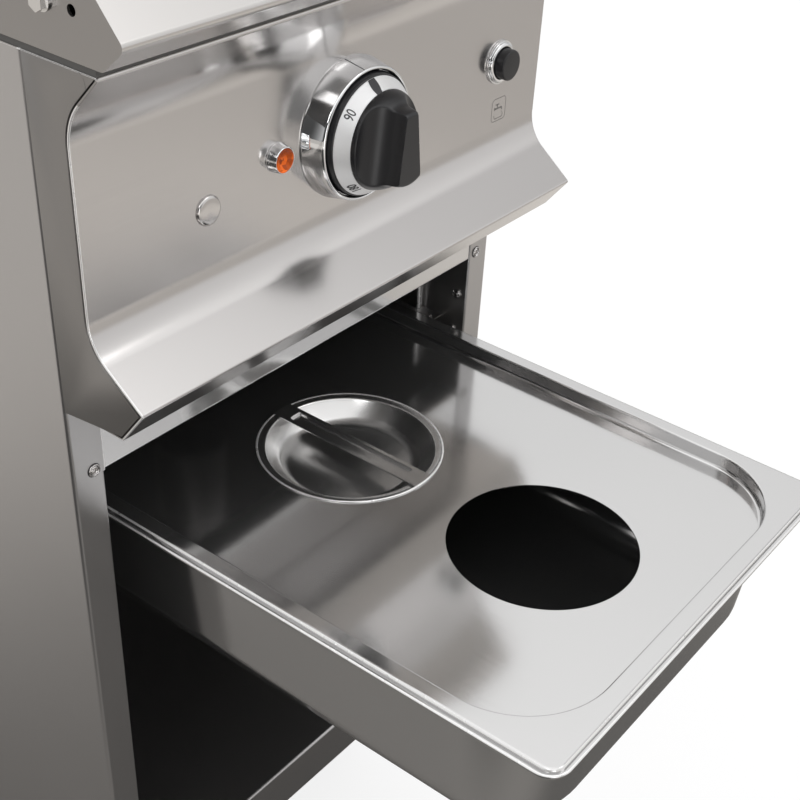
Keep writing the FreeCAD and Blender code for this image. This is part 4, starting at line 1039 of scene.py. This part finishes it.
def graded(nodes, links, value, low, high, low_tone, high_tone, soft=True):
    """A grey that runs from one tone to another as the value goes from low to high."""
    span = nodes.new("ShaderNodeMapRange")
    span.interpolation_type = "SMOOTHSTEP" if soft else "LINEAR"
    span.inputs["From Min"].default_value = low
    span.inputs["From Max"].default_value = high
    span.inputs["To Min"].default_value = low_tone
    span.inputs["To Max"].default_value = high_tone
    links.new(value, span.inputs["Value"])
    return span.outputs["Result"]


def product(nodes, links, first, second):
    both = nodes.new("ShaderNodeMath")
    both.operation = "MULTIPLY"
    links.new(first, both.inputs[0])
    links.new(second, both.inputs[1])
    return both.outputs[0]


def studio():
    world = bpy.data.worlds.new("studio")
    bpy.context.scene.world = world
    world.use_nodes = True
    nodes = world.node_tree.nodes
    links = world.node_tree.links
    background = nodes["Background"]
    background.inputs["Color"].default_value = (1, 1, 1, 1)
    place = nodes.new("ShaderNodeTexCoord")
    parts = nodes.new("ShaderNodeSeparateXYZ")
    links.new(place.outputs["Generated"], parts.inputs[0])
    square = product(nodes, links, parts.outputs["Z"], parts.outputs["Z"])
    rise = graded(nodes, links, square, 0.0, 1.0, 0.84, 1.60, soft=False)
    level = nodes.new("ShaderNodeVectorMath")
    level.operation = "MULTIPLY"
    level.inputs[1].default_value = (1, 1, 0)
    flat = nodes.new("ShaderNodeVectorMath")
    flat.operation = "NORMALIZE"
    links.new(place.outputs["Generated"], level.inputs[0])
    links.new(level.outputs["Vector"], flat.inputs[0])

    def toward(direction):
        share = nodes.new("ShaderNodeVectorMath")
        share.operation = "DOT_PRODUCT"
        share.inputs[1].default_value = direction
        links.new(flat.outputs["Vector"], share.inputs[0])
        return share.outputs["Value"]

    right_gap = graded(nodes, links, toward((0.966, -0.26, 0.0)), 0.96, 0.999, 1.0, 0.66)
    front = graded(nodes, links, toward((-0.42, -0.907, 0.0)), 0.82, 0.94, 0.0, 1.0)
    low = graded(nodes, links, parts.outputs["Z"], 0.3, 0.5, 1.0, 0.0)
    dark_front = graded(nodes, links, product(nodes, links, front, low), 0.0, 1.0, 1.0, 0.3, soft=False)
    left = graded(nodes, links, toward((-0.906, -0.423, 0.0)), 0.82, 0.93, 0.0, 1.0)
    lowest = graded(nodes, links, parts.outputs["Z"], 0.45, 0.6, 1.0, 0.0)
    dark_left = graded(nodes, links, product(nodes, links, left, lowest), 0.0, 1.0, 1.0, 0.08, soft=False)
    total = product(nodes, links, product(nodes, links, rise, right_gap), product(nodes, links, dark_front, dark_left))
    path = nodes.new("ShaderNodeLightPath")
    mix = nodes.new("ShaderNodeMix")
    mix.inputs[3].default_value = 1.0
    links.new(total, mix.inputs[2])
    links.new(path.outputs["Is Camera Ray"], mix.inputs[0])
    links.new(mix.outputs[0], background.inputs["Strength"])

    bpy.ops.mesh.primitive_plane_add(size=14, location=(0, 0, -0.0005))
    floor = bpy.context.object
    floor.name = "floor"
    material, nodes, links = new_material("floor_white")
    output = nodes["Material Output"]
    paint = nodes["Principled BSDF"]
    paint.inputs["Roughness"].default_value = 0.9
    place = nodes.new("ShaderNodeTexCoord")

    def distance(centre):
        away = nodes.new("ShaderNodeVectorMath")
        away.operation = "DISTANCE"
        away.inputs[1].default_value = centre
        links.new(place.outputs["Object"], away.inputs[0])
        return away.outputs["Value"]

    # painted shade on the floor as metal sees it: darker near the cabinet and under the drawer, where their shadow
    # falls; also darker in a patch at the front left and far away
    shade_near_cabinet = graded(nodes, links, distance((-0.2, -0.45, 0.0)), 0.55, 1.45, 0.23, 0.66)
    far = graded(nodes, links, distance((-1.0, 0.3, 0.0)), 2.55, 2.9, 1.0, 0.72)
    dark = graded(nodes, links, distance((-1.5, -0.85, 0.0)), 0.8, 1.2, 0.03, 1.0)
    below = graded(nodes, links, distance((0.25, -0.55, 0.0)), 0.3, 0.55, 0.5, 1.0)
    share = product(nodes, links, product(nodes, links, shade_near_cabinet, far), product(nodes, links, dark, below))
    tone = nodes.new("ShaderNodeMix")
    tone.data_type = "RGBA"
    tone.inputs[6].default_value = (0, 0, 0, 1)
    tone.inputs[7].default_value = (1.0, 0.95, 0.89, 1)
    links.new(share, tone.inputs[0])
    links.new(tone.outputs[2], paint.inputs["Base Color"])
    glow = nodes.new("ShaderNodeEmission")
    glow.inputs["Color"].default_value = (1, 1, 1, 1)
    glow.inputs["Strength"].default_value = 1.0
    white = nodes.new("ShaderNodeBsdfDiffuse")
    white.inputs["Color"].default_value = (0.95, 0.95, 0.95, 1)
    shaded = nodes.new("ShaderNodeMixShader")
    shaded.inputs["Fac"].default_value = 0.2
    path = nodes.new("ShaderNodeLightPath")
    mix = nodes.new("ShaderNodeMixShader")
    links.new(path.outputs["Is Camera Ray"], mix.inputs["Fac"])
    links.new(paint.outputs["BSDF"], mix.inputs[1])
    links.new(glow.outputs["Emission"], shaded.inputs[1])
    links.new(white.outputs["BSDF"], shaded.inputs[2])
    links.new(shaded.outputs["Shader"], mix.inputs[2])
    links.new(mix.outputs["Shader"], output.inputs["Surface"])
    floor.data.materials.append(material)


def softbox(name, place, aim, width, height, radiance, color=(1, 1, 1)):
    """A soft lamp whose face looks as bright as the given radiance."""
    lamp_data = bpy.data.lights.new(name, "AREA")
    lamp_data.shape = "RECTANGLE"
    lamp_data.size = width
    lamp_data.size_y = height
    lamp_data.energy = radiance * math.pi * width * height
    lamp_data.color = color
    box = bpy.data.objects.new(name, lamp_data)
    bpy.context.scene.collection.objects.link(box)
    box.location = place
    box.rotation_euler = (Vector(aim) - Vector(place)).to_track_quat("-Z", "Y").to_euler()


studio()
softbox("upper_left", (-1.95, -1.05, 1.95), (0, -0.2, 0.73), 0.6, 0.7, 2.6)
softbox("behind_camera", (-1.15, -1.95, 0.60), (0, -0.2, 0.73), 0.6, 1.1, 2.4)
softbox("front_right", (0.9, -1.9, 2.7), (0, -0.2, 0.7), 1.0, 0.9, 1.4)


def camera():
    """The photograph's camera, as solved from the container's rim and the cabinet's edges."""
    azimuth = 0.977012
    elevation = 0.638221
    roll = 0.083296
    forward = Vector((math.sin(azimuth) * math.cos(elevation), math.cos(azimuth) * math.cos(elevation),
                      -math.sin(elevation)))
    right = forward.cross(Vector((0, 0, 1))).normalized()
    up = right.cross(forward)
    right_2 = right * math.cos(roll) + up * math.sin(roll)
    up_2 = up * math.cos(roll) - right * math.sin(roll)
    data = bpy.data.cameras.new("photo_camera")
    data.sensor_width = 36.0
    data.lens = 1352.4866 / 800 * 36.0
    data.shift_x = (400 - 449.3965) / 800
    data.shift_y = (475.6119 - 400) / 800
    data.clip_start = 0.05
    data.clip_end = 50
    eye = bpy.data.objects.new("photo_camera", data)
    bpy.context.scene.collection.objects.link(eye)
    turn = Matrix((right_2, up_2, -forward)).transposed().to_4x4()
    eye.matrix_world = Matrix.Translation(spot(-576.7138, -507.4849, 418.3808 + FASCIA_BOTTOM)) @ turn
    bpy.context.scene.camera = eye


camera()
scene = bpy.context.scene
scene.view_settings.view_transform = "Standard"
scene.view_settings.look = "None"
scene.view_settings.exposure = 0
scene.view_settings.gamma = 1
